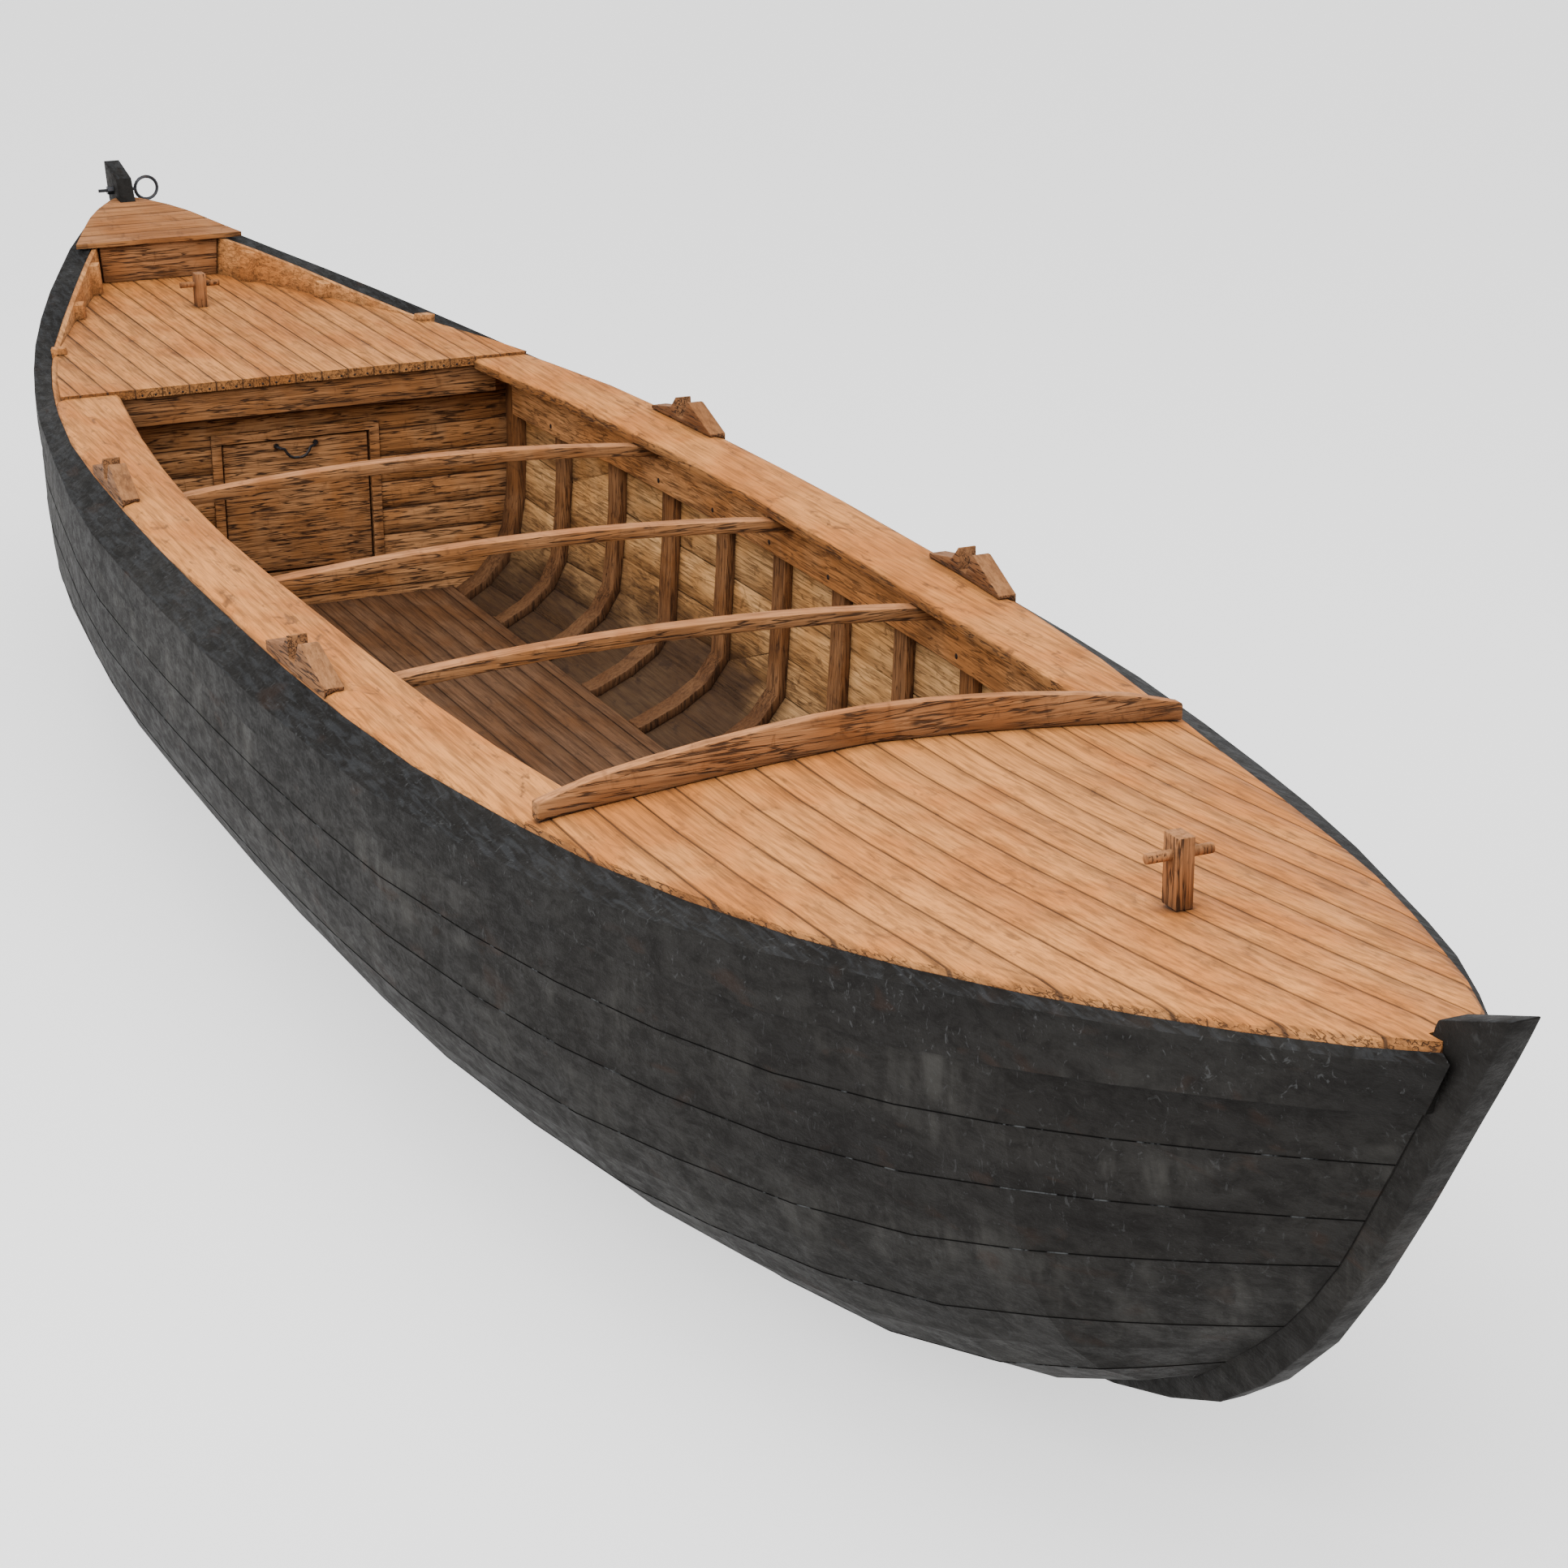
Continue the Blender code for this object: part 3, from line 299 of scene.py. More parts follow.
@dataclass(frozen=True)
class WoodFinish:
    """Oiled, weathered timber: worn smooth on top and split along the grain on its upright sides."""

    name: str
    top: Color
    side: Color
    dark: Color = DARK
    grain: Grain = Grain.ALONG
    row: PlankRow | None = None
    splits: float = 1.0
    stain: float = 0.5
    shift: float = 0.0
    bilge: float = 0.0
    marked: bool = False
    gloss: float = 0.16
    relief: float = 0.0045

    def seam(self, graph: NodeGraph) -> tuple[bpy.types.NodeSocket, bpy.types.NodeSocket]:
        """Mark the joints between planks.

        Args:
            graph: node graph of the material.

        Returns:
            Darkness of the joint, and a tint for each plank.
        """
        across = graph.axis(graph.place, self.row.axis)
        count = graph.math("DIVIDE", graph.math("SUBTRACT", across, self.row.offset), self.row.pitch)
        part = graph.math("FRACT", graph.math("ADD", count, 0.5))
        near = graph.math("ABSOLUTE", graph.math("SUBTRACT", part, 0.5))
        metres = graph.math("MULTIPLY", near, self.row.pitch)
        line = graph.between(metres, 0.0013, 0.0041, 1.0, 0.0)
        soil = graph.between(metres, 0.0, 0.012, 0.22, 0.0)
        white = graph.tree.nodes.new("ShaderNodeTexWhiteNoise")
        white.noise_dimensions = "1D"
        graph.put(white.inputs["W"], graph.math("FLOOR", count))
        return graph.math("MAXIMUM", line, soil), white.outputs["Value"]

    def build(self) -> bpy.types.Material:
        """Make the material.

        Returns:
            The timber with fibres, figure, splits, stains and plank joints.
        """
        graph = NodeGraph(self.name)
        along = graph.swap(self.grain.value)
        up = graph.facing_up()
        fibre = graph.noise(along, (4.5, 85.0, 85.0), 3.5, 0.6, 0.2, self.shift)
        fine = graph.noise(along, (9.0, 330.0, 330.0), 1.5, 0.6, 0.0, self.shift)
        field_lines = graph.noise(along, (0.9, 7.0, 7.0), 2.0, 0.5, 0.6, self.shift + 3)
        figure = graph.math("SINE", graph.math("MULTIPLY", field_lines, 62.0))
        figure = graph.between(figure, -0.2, 1.0)
        blotch = graph.noise(graph.place, (2.6, 4.2, 4.2), 3.0, 0.6, 0.4, self.shift + 7)
        smudge = graph.noise(graph.place, (11.0, 26.0, 20.0), 3.5, 0.65, 0.8, self.shift + 11)
        crack = graph.noise(along, (4.5, 88.0, 88.0), 2.5, 0.55, 0.35, self.shift + 5)
        crack = graph.math("ABSOLUTE", graph.math("SUBTRACT", crack, 0.5))
        broken = graph.noise(along, (9.0, 40.0, 40.0), 2.0, 0.5, 0.0, self.shift + 15)
        crack = graph.math("MULTIPLY", graph.between(crack, 0.006, 0.040, 1.0, 0.0),
                           graph.between(broken, 0.36, 0.52, 0.25, 1.0))
        upright = graph.math("SUBTRACT", 1.0, up)
        crack_amount = graph.math("MULTIPLY_ADD", upright, 0.70 * self.splits, 0.08)
        crack_amount = graph.math("MULTIPLY", crack, crack_amount)
        base = graph.mix(up, self.side, self.top)
        sunned = graph.mix(0.9, base, SUN_TINT, "MULTIPLY")
        warm = graph.mix(graph.between(blotch, 0.38, 0.62), base, sunned)
        color = graph.mix(graph.between(fibre, 0.40, 0.68, 0.0, 0.52), warm, self.dark)
        color = graph.mix(graph.math("MULTIPLY", figure, 0.13), color, self.dark)
        color = graph.mix(graph.between(fine, 0.45, 0.75, 0.0, 0.30), color, self.dark)
        color = graph.mix(graph.between(smudge, 0.55, 0.72, 0.0, self.stain), color, self.dark)
        color = graph.mix(crack_amount, color, graph.mix(0.72, self.dark, SPLIT_BLACK))
        height = graph.math("ADD", graph.math("MULTIPLY", fibre, 0.5), graph.math("MULTIPLY", fine, 0.25))
        height = graph.math("SUBTRACT", height, graph.math("MULTIPLY", crack_amount, 1.1))
        if self.row:
            joint, tint = self.seam(graph)
            color = graph.mix(graph.math("MULTIPLY", tint, 0.12), color, self.dark)
            color = graph.mix(graph.math("MULTIPLY", joint, 0.8), color, JOINT_BROWN)
        if self.marked:
            mark = graph.tree.nodes.new("ShaderNodeAttribute")
            mark.attribute_name = "seam"
            line = graph.between(mark.outputs["Fac"], 0.15, 0.7, 0.0, 0.9)
            color = graph.mix(line, color, GROOVE_BLACK)
        if self.bilge:
            low = graph.axis(graph.place, "Z")
            wet = graph.math("ADD", low, graph.math("MULTIPLY", blotch, -0.45))
            color = graph.mix(graph.between(wet, -0.22, 0.09, self.bilge, 0.0), color, BILGE_BLACK)
        # Painted shade: darker brown in corners and between parts, wherever ambient occlusion finds a
        # neighbour close by.
        color = graph.mix(graph.corner_shade(0.05), graph.mix(0.8, color, CORNER_SHADE_BROWN), color)
        graph.shader.inputs[GLOSS].default_value = self.gloss
        rough = graph.between(fibre, 0.3, 0.7, 0.62, 0.82)
        return graph.finish(color, rough, height, self.relief, 0.9)


TAR_BLACK: Color = (0.0058, 0.0050, 0.0043)
TAR_BROWN: Color = (0.0118, 0.0106, 0.0093)
TAR_MOTTLE: Color = (0.0040, 0.0034, 0.0029)
TAR_PATCH: Color = (0.043, 0.041, 0.037)
TAR_RUST: Color = (0.020, 0.010, 0.006)
TAR_SCRATCH: Color = (0.06, 0.062, 0.063)
TAR_LOW_SHADE: Color = (0.0042, 0.0038, 0.0033)
TAR_WEAR_AND_SHEEN: Color = (0.036, 0.039, 0.043)


@dataclass(frozen=True)
class TarFinish:
    """Black tarred planking with grey scuffs, brown patches and fine scratches."""

    name: str
    lift: float = 1.0
    scuffs: float = 0.5
    shift: float = 0.0
    patches: float = 0.6
    gloss: float = 0.10
    relief: float = 0.004

    def build(self) -> bpy.types.Material:
        """Make the material.

        Returns:
            The tarred wood.
        """
        graph = NodeGraph(self.name)
        big = graph.noise(graph.place, (0.9, 2.0, 2.8), 3.0, 0.62, 0.5, self.shift)
        streak = graph.noise(graph.place, (9.0, 9.0, 1.7), 4.0, 0.66, 0.3, self.shift + 2)
        mottle = graph.noise(graph.place, (15.0, 17.0, 26.0), 6.0, 0.80, 0.4, self.shift + 4)
        fibre = graph.noise(graph.place, (5.0, 60.0, 110.0), 3.0, 0.6, 0.4, self.shift + 6)
        scratch = graph.noise(graph.place, (38.0, 38.0, 22.0), 4.0, 0.7, 2.0, self.shift + 8)
        black, brown = (tuple(c * self.lift for c in tone) for tone in (TAR_BLACK, TAR_BROWN))
        color = graph.mix(graph.between(big, 0.36, 0.64), black, brown)
        color = graph.mix(graph.between(mottle, 0.44, 0.66, 0.0, 0.65), color, TAR_MOTTLE)
        pale = graph.math("MULTIPLY", graph.between(streak, 0.46, 0.66), graph.between(big, 0.47, 0.60))
        color = graph.mix(graph.math("MULTIPLY", pale, self.patches), color, TAR_PATCH)
        rust = graph.noise(graph.place, (6.0, 9.0, 14.0), 2.0, 0.6, 0.5, self.shift + 13)
        color = graph.mix(graph.between(rust, 0.60, 0.74, 0.0, 0.45), color, TAR_RUST)
        scuffed = graph.between(scratch, 0.60, 0.68, 0.0, 0.5 * self.scuffs)
        color = graph.mix(scuffed, color, TAR_SCRATCH)
        # Painted shade: the tar is made darker towards the bottom of the hull.
        low = graph.between(graph.axis(graph.place, "Z"), -0.25, 0.55, 0.75, 0.0)
        color = graph.mix(low, color, TAR_LOW_SHADE)
        # Lighter grey-blue in patches on surfaces that face up: partly real wear, partly a painted sheen of
        # the sky on the tops.
        up = graph.facing_up()
        worn = graph.noise(graph.place, (9.0, 60.0, 60.0), 3.0, 0.65, 0.6, 1.0)
        worn = graph.math("MULTIPLY", up, graph.between(worn, 0.42, 0.66))
        color = graph.mix(graph.math("MULTIPLY", worn, 0.35), color, TAR_WEAR_AND_SHEEN)
        graph.shader.inputs[GLOSS].default_value = self.gloss
        height = graph.math("ADD", graph.math("MULTIPLY", mottle, 0.9), graph.math("MULTIPLY", fibre, 0.45))
        height = graph.math("ADD", height, graph.math("MULTIPLY", scratch, 0.35))
        rough = graph.between(mottle, 0.35, 0.65, 0.58, 0.80)
        return graph.finish(color, rough, height, self.relief, 0.75)


@dataclass(frozen=True)
class SpeckFinish:
    """Two colours in flecks, for iron, nail heads, caulking and the floor."""

    name: str
    base: Color
    fleck: Color
    scale: tuple[float, float, float] = (60.0, 60.0, 60.0)
    low: float = 0.5
    high: float = 0.6
    rough: float = 0.6
    metal: float = 0.0
    depth: float = 0.0008
    gloss: float = 0.4

    def build(self) -> bpy.types.Material:
        """Make the material.

        Returns:
            The flecked finish.
        """
        graph = NodeGraph(self.name)
        spots = graph.noise(graph.place, self.scale, 5.0, 0.6, 0.4)
        graph.shader.inputs["Metallic"].default_value = self.metal
        graph.shader.inputs[GLOSS].default_value = self.gloss
        color = graph.mix(graph.between(spots, self.low, self.high), self.base, self.fleck)
        rough = graph.between(spots, 0.3, 0.7, self.rough - 0.1, self.rough + 0.1)
        return graph.finish(color, rough, spots, self.depth, 0.6)


class Finishes:
    """The boat's materials, each made once."""

    def __init__(self) -> None:
        """Make every finish."""
        self.make_wood()
        self.make_tar_and_iron()

    def make_wood(self) -> None:
        """Make the bare timbers."""
        pale, clamp, lining = (0.60, 0.265, 0.085), (0.62, 0.285, 0.105), (0.74, 0.41, 0.165)
        self.fore_deck = WoodFinish("fore_deck_planks", TAN, SIDE, row=FORE_ROW).build()
        self.stern_deck = WoodFinish("stern_deck_planks", TAN, SIDE, row=STERN_ROW, shift=21).build()
        self.raised = WoodFinish("raised_deck_planks", (0.40, 0.170, 0.062), SIDE,
                                 grain=Grain.ACROSS, row=RAISED_ROW, shift=5).build()
        self.rail = WoodFinish("rail_timber", TAN, SIDE, stain=0.7, shift=31).build()
        self.bulwark = WoodFinish("bulwark_timber", pale, pale, splits=0.45, stain=0.4,
                                  shift=41).build()
        self.clamp = WoodFinish("clamp_timber", (0.60, 0.28, 0.105), clamp, splits=0.7, stain=0.4,
                                shift=43).build()
        self.rowlock = WoodFinish("rowlock_timber", (0.28, 0.125, 0.048), (0.22, 0.100, 0.040),
                                  splits=1.3, shift=37).build()
        self.beam = WoodFinish("cross_timber", (0.47, 0.200, 0.075), (0.34, 0.155, 0.060),
                               grain=Grain.ACROSS, splits=1.2, shift=9).build()
        self.bulkhead = WoodFinish("bulkhead_planks", SIDE, (0.45, 0.215, 0.085),
                                   grain=Grain.ACROSS, row=BULKHEAD_ROW, splits=1.25,
                                   shift=13).build()
        self.door = WoodFinish("door_board", SIDE, (0.40, 0.185, 0.072), grain=Grain.ACROSS,
                               splits=1.3, shift=17).build()
        self.lining = WoodFinish("hold_lining_planks", lining, lining, splits=0.5, stain=0.7,
                                 shift=19, bilge=0.92, marked=True).build()
        self.sole = WoodFinish("sole_planks", (0.165, 0.082, 0.040), (0.11, 0.055, 0.028),
                               JOINT_BROWN, row=SOLE_ROW, shift=23).build()
        self.frame = WoodFinish("frame_timber", (0.30, 0.138, 0.054), (0.29, 0.132, 0.052),
                                grain=Grain.UPRIGHT, splits=0.9, shift=27, bilge=0.55).build()
        self.post = WoodFinish("upright_timber", (0.36, 0.160, 0.062), (0.34, 0.150, 0.058),
                               grain=Grain.UPRIGHT, splits=1.2, shift=29).build()

    def make_tar_and_iron(self) -> None:
        """Make the tarred planking, the iron and the caulking."""
        self.hull = TarFinish("tarred_planking", patches=0.5).build()
        self.wale = TarFinish("tarred_wale", 0.85, 0.9, 6.0, 0.15).build()
        self.stem = TarFinish("tarred_stem", 1.15, 0.3, 11.0).build()
        self.iron = SpeckFinish("forged_iron", (0.035, 0.036, 0.040), (0.10, 0.055, 0.035),
                                low=0.56, high=0.70, rough=0.42, metal=0.85).build()
        self.nail = SpeckFinish("nail_iron", (0.012, 0.010, 0.010), (0.05, 0.025, 0.015),
                                (300.0,) * 3, metal=0.5, rough=0.55).build()
        self.caulk = SpeckFinish("seam_caulking", (0.0022, 0.0020, 0.0018),
                                 (0.048, 0.050, 0.051), (15.0, 3.0, 3.0), 0.56, 0.65, 0.85,
                                 gloss=0.03).build()


def dress(node: str, material: bpy.types.Material) -> None:
    """Give a CAD node a finish.

    Args:
        node: name of the node.
        material: finish for all its slots.
    """
    piece = bpy.data.objects[node]
    if not piece.material_slots:
        piece.data.materials.append(material)
    for entry in piece.material_slots:
        entry.material = material


WELD = 0.00002
FLAT_ANGLE = math.radians(0.5)
SMOOTH_ANGLE = math.radians(32)


def clear_selection() -> None:
    """Leave edit mode and deselect everything."""
    if bpy.context.object and bpy.context.object.mode != "OBJECT":
        bpy.ops.object.mode_set(mode="OBJECT")
    bpy.ops.object.select_all(action="DESELECT")


def take(piece: bpy.types.Object) -> None:
    """Make a piece the only selected and active one."""
    clear_selection()
    piece.select_set(True)
    bpy.context.view_layer.objects.active = piece


def copy_of(node: str, name: str, flatten: bool = True) -> bpy.types.Object:
    """Copy a CAD node's solid as a closed mesh to work on.

    Args:
        node: node to copy.
        name: name of the new piece.
        flatten: join the triangles of each flat side into one face.

    Returns:
        The new piece, selected and active.
    """
    mesh = bpy.data.objects[node].data.copy()
    mesh.name = name
    piece = bpy.data.objects.new(name, mesh)
    bpy.context.scene.collection.objects.link(piece)
    take(piece)
    bpy.ops.object.mode_set(mode="EDIT")
    bpy.ops.mesh.select_all(action="SELECT")
    bpy.ops.mesh.remove_doubles(threshold=WELD)
    if flatten:
        bpy.ops.mesh.dissolve_limited(angle_limit=FLAT_ANGLE)
    else:
        bpy.ops.mesh.tris_convert_to_quads(face_threshold=math.radians(8),
                                           shape_threshold=math.radians(100))
    bpy.ops.object.mode_set(mode="OBJECT")
    return piece


def settle(piece: bpy.types.Object, body: str, material: bpy.types.Material, *nodes: str) -> None:
    """Finish a piece, put it on its body and report it.

    Args:
        piece: new piece.
        body: body it moves with.
        material: its finish.
        nodes: CAD nodes it stands for.
    """
    piece.data.materials.clear()
    piece.data.materials.append(material)
    take(piece)
    bpy.ops.object.shade_smooth_by_angle(angle=SMOOTH_ANGLE)
    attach(piece, body)
    if nodes:
        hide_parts(*nodes)
    log.info("%s: %d faces", piece.name, len(piece.data.polygons))


@dataclass
class PlankedBoard:
    """A deck, sole or bulkhead whose planks are parted by real grooves."""

    node: str
    name: str
    axis: int
    seams: tuple[float, ...]
    show: tuple[float, float, float] = (0.0, 0.0, 1.0)
    width: float = 0.005
    depth: float = 0.004
    margin: float = 0.01

    def build(self) -> bpy.types.Object:
        """Cut the grooves.

        Returns:
            The grooved piece.
        """
        piece = copy_of(self.node, self.name)
        low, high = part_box(self.node)
        first, last = low[self.axis] + self.margin, high[self.axis] - self.margin
        seams = [s for s in self.seams if first < s < last]
        normal = [0.0, 0.0, 0.0]
        normal[self.axis] = 1.0
        bpy.ops.object.mode_set(mode="EDIT")
        for seam in seams:
            for step in (-0.5, 0.0, 0.5):
                place = [0.0, 0.0, 0.0]
                place[self.axis] = seam + step * self.width
                bpy.ops.mesh.select_all(action="SELECT")
                bpy.ops.mesh.bisect(plane_co=place, plane_no=normal)
        bpy.ops.object.mode_set(mode="OBJECT")
        work = bmesh.new()
        work.from_mesh(piece.data)
        show = Vector(self.show)
        sunk = [v for v in work.verts if any(abs(v.co[self.axis] - s) < 1e-5 for s in seams)
                and any(f.normal.dot(show) > 0.6 for f in v.link_faces)]
        for vertex in sunk:
            vertex.co -= show * self.depth
        work.to_mesh(piece.data)
        work.free()
        return piece


@dataclass
class Timber:
    """A sawn timber with worn, rounded edges."""

    node: str
    name: str
    worn: float = 0.003
    flatten: bool = True

    def build(self) -> bpy.types.Object:
        """Round the edges.

        Returns:
            The worn timber.
        """
        piece = copy_of(self.node, self.name, self.flatten)
        bevel = piece.modifiers.new("worn_edge", "BEVEL")
        bevel.width = self.worn
        bevel.segments = 2
        bevel.limit_method = "ANGLE"
        bevel.angle_limit = math.radians(40)
        bevel.use_clamp_overlap = True
        bpy.ops.object.modifier_apply(modifier=bevel.name)
        return piece


def walk_edge(node: str) -> list[Vector]:
    """Follow the outer upper edge of a strake from stern to bow.

    Args:
        node: name of the strake.

    Returns:
        The points of that edge.
    """
    work = bmesh.new()
    work.from_mesh(bpy.data.objects[node].data)
    bmesh.ops.remove_doubles(work, verts=work.verts, dist=WELD)
    start = max(work.verts, key=lambda v: abs(v.co.y) - 0.5 * abs(v.co.x))
    line = [start.co.copy()]
    for way in (1.0, -1.0):
        here = start
        while True:
            ahead = [e.other_vert(here) for e in here.link_edges]
            ahead = [v for v in ahead if (v.co.x - here.co.x) * way > 0.004]
            if not ahead:
                break
            here = max(ahead, key=lambda v: abs(v.co.y) + 0.15 * v.co.z)
            line.insert(len(line) if way > 0 else 0, here.co.copy())
    work.free()
    return line


def cord_along(name: str, lines: Iterable[Sequence[Vector]], radius: float) -> bpy.types.Object:
    """Lay a round strand along each line.

    Args:
        name: name of the piece.
        lines: runs of points.
        radius: radius of the strand.

    Returns:
        The strands as one mesh.
    """
    clear_selection()
    bpy.ops.curve.primitive_nurbs_path_add()
    piece = bpy.context.object
    piece.name = name
    curve = piece.data
    curve.splines.clear()
    for line in lines:
        spline = curve.splines.new("POLY")
        spline.points.add(len(line) - 1)
        for point, place in zip(spline.points, line):
            point.co = (*place, 1.0)
    curve.bevel_depth = radius
    curve.bevel_resolution = 1
    curve.use_fill_caps = True
    bpy.ops.object.convert(target="MESH")
    bpy.ops.object.mode_set(mode="EDIT")
    bpy.ops.mesh.select_all(action="SELECT")
    bpy.ops.mesh.remove_doubles(threshold=0.00005)
    bpy.ops.mesh.fill_holes(sides=16)
    bpy.ops.mesh.normals_make_consistent(inside=False)
    bpy.ops.object.mode_set(mode="OBJECT")
    return bpy.context.object


@dataclass
class TarredHull:
    """Keel, stem, stern post and planking, with caulked seams."""

    finishes: Finishes
    strand: float = 0.0014
    strakes: tuple[str, ...] = ("strake_1", "strake_2", "strake_3", "strake_4", "strake_5", "garboard")

    def build(self) -> None:
        """Dress the planking and lay the caulking."""
        for side in SIDES:
            for name in self.strakes:
                dress(f"{name}_{side}", self.finishes.hull)
            dress(f"wale_{side}", self.finishes.wale)
            seams = [walk_edge(f"{name}_{side}") for name in self.strakes]
            caulk = cord_along(f"caulking_{side}", seams, self.strand)
            settle(caulk, HULL, self.finishes.caulk)
        dress("keel", self.finishes.hull)
        for node in ("bow_stem", "stern_post"):
            settle(Timber(node, f"{node}_worn", 0.004).build(), HULL, self.finishes.stem, node)


@dataclass
class Decks:
    """Fore deck, stern deck, raised stern deck, covering boards and washboard."""

    finishes: Finishes

    def build(self) -> None:
        """Lay the decks."""
        looks = self.finishes
        decks = (
            ("fore_deck", "fore_deck_planked", 1, FORE_ROW.seams(range(-9, 10)), looks.fore_deck),
            ("stern_deck", "stern_deck_planked", 1, STERN_ROW.seams(range(-9, 10)),
             looks.stern_deck),
            ("raised_stern_deck", "raised_deck_planked", 0, RAISED_ROW.seams(range(0, -5, -1)),
             looks.raised),
        )
        for node, name, axis, seams, look in decks:
            settle(PlankedBoard(node, name, axis, seams).build(), HULL, look, node)
        settle(Timber("washboard", "washboard_worn", 0.006).build(), HULL, looks.beam, "washboard")
        for side in SIDES:
            node = f"covering_board_{side}"
            settle(Timber(node, f"{node}_worn", 0.005).build(), HULL, looks.rail, node)
            node = f"bulwark_{side}"
            settle(Timber(node, f"{node}_worn", 0.003).build(), HULL, looks.bulwark, node)


@dataclass
class Hold:
    """Lining, frames, sole, beams, clamps and bulkheads of the open hold."""

    finishes: Finishes
    groove: float = 0.003
    sunk: float = 0.004
    top: float = 0.66
    near: float = 0.0012

    def lining(self, side: str) -> None:
        """Part the lining planks by grooves.

        Args:
            side: port or starboard.
        """
        node = f"hold_lining_{side}"
        piece = copy_of(node, f"{node}_planked")
        bpy.ops.object.mode_set(mode="EDIT")
        bpy.ops.mesh.select_all(action="SELECT")
        bpy.ops.mesh.tris_convert_to_quads(face_threshold=math.radians(12),
                                           shape_threshold=math.radians(120))
        bpy.ops.mesh.select_all(action="DESELECT")
        bpy.ops.object.mode_set(mode="OBJECT")
        inward = 1.0 if side == "starboard" else -1.0
        bpy.context.tool_settings.mesh_select_mode = (False, True, False)
        work = bmesh.new()
        work.from_mesh(piece.data)
        rows: list[Vector] = []
        for edge in work.edges:
            run = (edge.verts[1].co - edge.verts[0].co).normalized()
            faces = edge.link_faces
            inner = len(faces) == 2 and all(
                f.normal.y * inward + f.normal.z > 0.3 and abs(f.normal.x) < 0.5 for f in faces)
            if inner and abs(run.x) > 0.93 and min(v.co.z for v in edge.verts) < self.top:
                edge.select_set(True)
                rows.extend(v.co.copy() for v in edge.verts)
        work.to_mesh(piece.data)
        work.free()
        bpy.ops.object.mode_set(mode="EDIT")
        bpy.ops.mesh.bevel(offset=self.groove, segments=2, clamp_overlap=True)
        bpy.ops.object.mode_set(mode="OBJECT")
        tree = KDTree(len(rows))
        for index, place in enumerate(rows):
            tree.insert(place, index)
        tree.balance()
        work = bmesh.new()
        work.from_mesh(piece.data)
        work.normal_update()
        mark = work.verts.layers.float.new("seam")
        for vertex in work.verts:
            if tree.find(vertex.co)[2] < self.near:
                vertex.co -= vertex.normal * self.sunk
                vertex[mark] = 1.0
        work.to_mesh(piece.data)
        work.free()
        settle(piece, HULL, self.finishes.lining, node)

    def build(self) -> None:
        """Build and dress the hold."""
        looks = self.finishes
        sole = SOLE_ROW.seams(range(-8, 8))
        settle(PlankedBoard("hold_sole", "hold_sole_planked", 1, sole, depth=0.005).build(), HULL,
               looks.sole, "hold_sole")
        boards = BULKHEAD_ROW.seams(range(0, -7, -1))
        for node, ahead in (("aft_bulkhead", 1.0), ("fore_bulkhead", -1.0)):
            wall = PlankedBoard(node, f"{node}_planked", 2, boards, (ahead, 0.0, 0.0), 0.004, 0.003)
            settle(wall.build(), HULL, looks.bulkhead, node)
        for side in SIDES:
            self.lining(side)
            node = f"clamp_{side}"
            settle(Timber(node, f"{node}_worn", 0.003).build(), HULL, looks.clamp, node)
        for node in FRAMES:
            worn = Timber(node, f"{node}_worn", 0.003, flatten=False).build()
            settle(worn, HULL, looks.frame, node)
        for node in ("cross_beam_1", "cross_beam_2", "cross_beam_3", "stern_deck_beam", "cuddy_face"):
            settle(Timber(node, f"{node}_worn", 0.003).build(), HULL, looks.beam, node)
        settle(Timber("cuddy_door_frame", "cuddy_door_frame_worn", 0.002).build(), HULL, looks.door,
               "cuddy_door_frame")
        settle(Timber("cuddy_door", "cuddy_door_worn", 0.003).build(), DOOR, looks.door, "cuddy_door")
        dress("cuddy_door_pull", looks.iron)


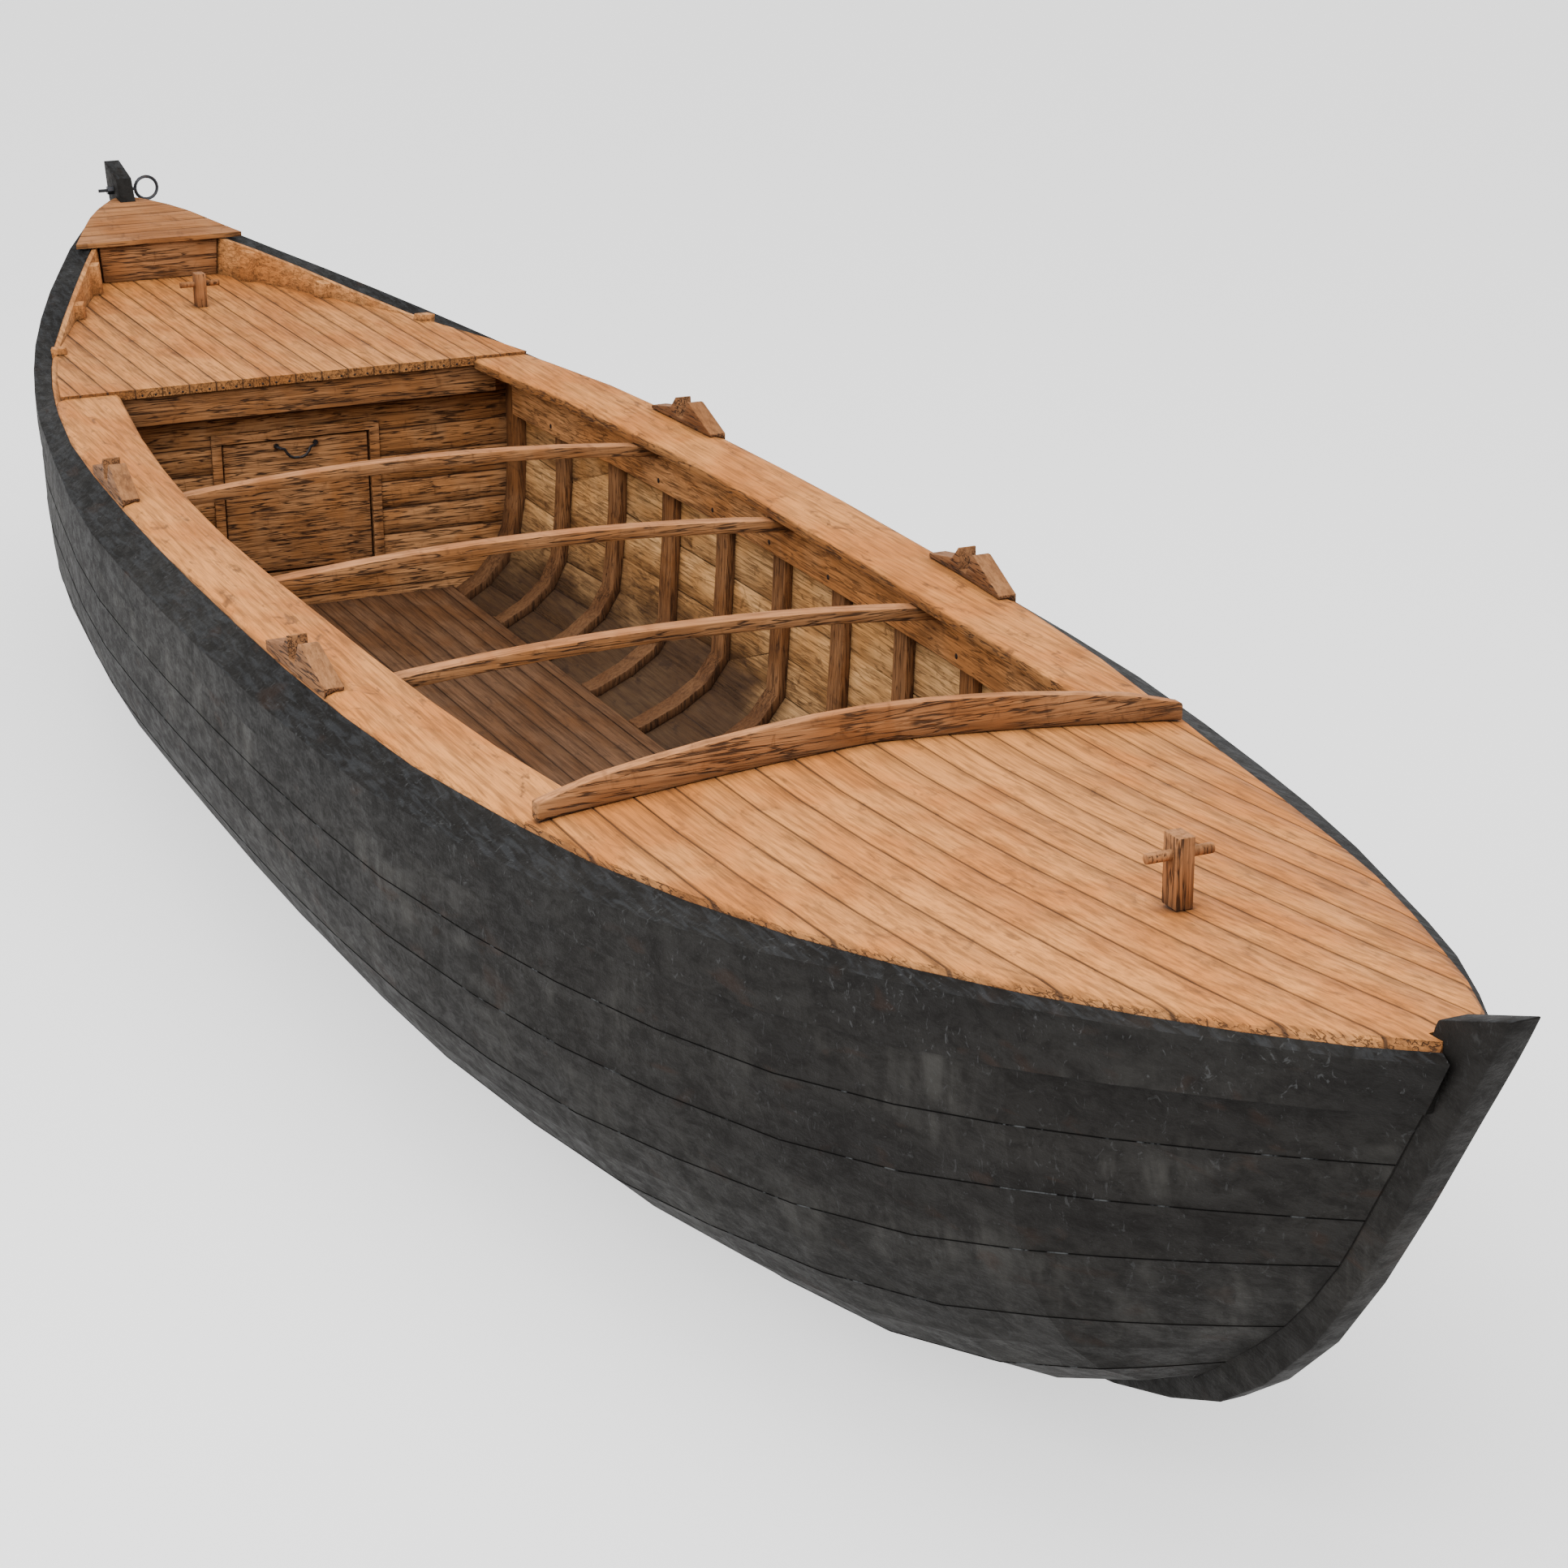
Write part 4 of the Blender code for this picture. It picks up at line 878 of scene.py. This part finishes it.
@dataclass(frozen=True)
class Fittings:
    """Bitts, rowlocks, ring bolt and the small nails."""

    finishes: Finishes
    clamp_head: float = 0.0085
    deck_head: float = 0.0040
    nail_step: float = 0.022

    def nail(self, radius: float) -> bpy.types.Object:
        """Model one domed nail head about the origin, its shank downwards.

        Args:
            radius: radius of the head.

        Returns:
            The nail.
        """
        clear_selection()
        bpy.ops.mesh.primitive_uv_sphere_add(segments=10, ring_count=6, radius=radius)
        head = bpy.context.object
        bpy.ops.object.mode_set(mode="EDIT")
        bpy.ops.mesh.select_all(action="SELECT")
        bpy.ops.transform.resize(value=(1.0, 1.0, 0.3))
        bpy.ops.mesh.bisect(plane_co=(0, 0, -0.001), plane_no=(0, 0, 1), clear_inner=True,
                            use_fill=True)
        bpy.ops.object.mode_set(mode="OBJECT")
        return head

    def drive(self, name: str, spots: Sequence[tuple[Vector, Vector]], radius: float) -> None:
        """Drive a nail at each spot.

        Args:
            name: name of the joined piece.
            spots: place of each head and the way it faces.
            radius: radius of the heads.
        """
        pattern = self.nail(radius)
        copies = []
        for place, facing in spots:
            mesh = pattern.data.copy()
            turn = Vector((0, 0, 1)).rotation_difference(facing).to_matrix().to_4x4()
            mesh.transform(Matrix.Translation(place) @ turn)
            copy = bpy.data.objects.new(name, mesh)
            bpy.context.scene.collection.objects.link(copy)
            copies.append(copy)
        bpy.data.objects.remove(pattern, do_unlink=True)
        take(copies[0])
        for copy in copies:
            copy.select_set(True)
        bpy.ops.object.join()
        piece = bpy.context.object
        piece.name = name
        settle(piece, HULL, self.finishes.nail)

    @staticmethod
    def on_surface(node: str, start: Vector, way: Vector) -> tuple[Vector, Vector] | None:
        """Find where a ray meets a node.

        Args:
            node: name of the node.
            start: start of the ray.
            way: its direction.

        Returns:
            The place and its normal, or None.
        """
        mesh = bpy.data.objects[node].data
        solid = BVHTree.FromPolygons([v.co for v in mesh.vertices],
                                     [p.vertices[:] for p in mesh.polygons])
        place, normal, _, _ = solid.ray_cast(start, way)
        return (place, normal) if place else None

    def clamp_nails(self, side: str, way: Vector) -> None:
        """Nail a clamp to each frame, once near its upper and once near its lower edge.

        Args:
            side: port or starboard.
            way: direction of that side.
        """
        spots = []
        for frame in FRAMES:
            low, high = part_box(frame)
            x = 0.5 * (low[0] + high[0])
            found = [self.on_surface(f"clamp_{side}", Vector((x, 0.0, 0.40 + 0.006 * k)), way)
                     for k in range(58)]
            rows = [hit for hit in found if hit and abs(hit[1].z) < 0.5]
            if rows:
                inset = len(rows) // 5
                spots += [rows[inset], rows[len(rows) - 1 - inset]]
        self.drive(f"clamp_nails_{side}", spots, self.clamp_head)

    def deck_nails(self) -> None:
        """Nail the end grain of each stern deck plank, two heads to a plank."""
        edge = []
        for k in range(-6, 7):
            centre = STERN_ROW.offset + STERN_ROW.pitch * (k + 0.5)
            for y in (centre - self.nail_step, centre + self.nail_step):
                found = None
                for z in (0.0, 0.740, 0.745, 0.750, 0.755, 0.760):
                    found = found or self.on_surface("stern_deck", Vector((-1.9, y, z)),
                                                     Vector((-1, 0, 0)))
                if found and found[0].x > -2.08:
                    edge.append(found)
        self.drive("stern_deck_edge_nails", edge, self.deck_head)

    def build(self) -> None:
        """Build and dress the fittings."""
        looks = self.finishes
        rowlocks = [f"rowlock_{end}_{side}" for end in ("aft", "fore") for side in SIDES]
        for node in ("bow_bitt", "stern_bitt", *rowlocks):
            finish = looks.post if "bitt" in node else looks.rowlock
            settle(Timber(node, f"{node}_worn", 0.0025).build(), HULL, finish, node)
        dress("ring_bolt", looks.iron)
        for side, way in zip(SIDES, (1, -1)):
            self.clamp_nails(side, Vector((0, way, 0)))
        self.deck_nails()


@dataclass(frozen=True)
class Studio:
    """Pale floor, soft lights and the photograph's camera."""

    floor_z: float = -0.2905
    place: tuple[float, float, float] = (8.4, -3.0, 3.15)
    yaw: float = 24.4267
    pitch: float = 19.637
    roll: float = -0.3194
    lens: float = 75.85
    aim: tuple[float, float, float] = (0.0, 0.0, 0.3)
    glow: float = 1.15
    sky: float = 1.25

    def camera(self) -> None:
        """Set the camera at the photograph's angle."""
        yaw, pitch, roll = (math.radians(a) for a in (self.yaw, self.pitch, self.roll))
        ahead = Vector((-math.cos(yaw) * math.cos(pitch), math.sin(yaw) * math.cos(pitch),
                        -math.sin(pitch)))
        right = ahead.cross(Vector((0, 0, 1))).normalized()
        above = right.cross(ahead)
        right, above = (math.cos(roll) * right + math.sin(roll) * above,
                        math.cos(roll) * above - math.sin(roll) * right)
        clear_selection()
        bpy.ops.object.camera_add(location=self.place)
        camera = bpy.context.object
        turn = Matrix((right, above, -ahead)).transposed().to_4x4()
        camera.matrix_world = Matrix.Translation(self.place) @ turn
        camera.data.lens = self.lens
        camera.data.sensor_width = 36.0
        camera.data.clip_end = 300.0
        bpy.context.scene.camera = camera

    def light(self, place: tuple[float, float, float], size: float, watts: float) -> None:
        """Hang a soft square light that looks at the boat.

        Args:
            place: where it hangs.
            size: its side.
            watts: its power.
        """
        clear_selection()
        bpy.ops.object.light_add(type="AREA", location=place)
        lamp = bpy.context.object
        lamp.data.size = size
        lamp.data.energy = watts
        ray = Vector(self.aim) - Vector(place)
        lamp.rotation_euler = ray.to_track_quat("-Z", "Y").to_euler()

    def build(self) -> None:
        """Build the floor, the sky, the lights and the camera."""
        clear_selection()
        bpy.ops.mesh.primitive_grid_add(x_subdivisions=4, y_subdivisions=4, size=160.0,
                                        location=(0, 0, self.floor_z))
        floor = bpy.context.object
        floor.name = "studio_floor"
        bpy.ops.object.transform_apply(location=True, rotation=True, scale=True)
        graph = NodeGraph("studio_floor_paint")
        tone = graph.noise(graph.place, (0.3, 0.3, 0.3), 2.0)
        color = graph.mix(tone, (0.50, 0.50, 0.50), (0.51, 0.51, 0.51))
        graph.shader.inputs["Emission Color"].default_value = (1.0, 1.0, 1.0, 1.0)
        graph.shader.inputs["Emission Strength"].default_value = self.glow
        graph.finish(color, 0.9, tone, 0.0001, 0.1)
        floor.data.materials.append(graph.material)
        world = bpy.data.worlds.new("studio_sky")
        world.use_nodes = True
        background = world.node_tree.nodes["Background"]
        background.inputs[0].default_value = (1.0, 1.0, 1.0, 1.0)
        background.inputs[1].default_value = self.sky
        bpy.context.scene.world = world
        self.light((2.0, -1.0, 9.0), 7.0, 750.0)
        self.light((6.5, -7.0, 7.0), 6.0, 900.0)
        self.camera()


def main() -> None:
    """Build the boat's dressing."""
    logging.basicConfig(level=logging.INFO, format="%(name)s: %(message)s")
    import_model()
    finishes = Finishes()
    TarredHull(finishes).build()
    Decks(finishes).build()
    Hold(finishes).build()
    Fittings(finishes).build()
    Studio().build()


if __name__ == "__main__":
    main()
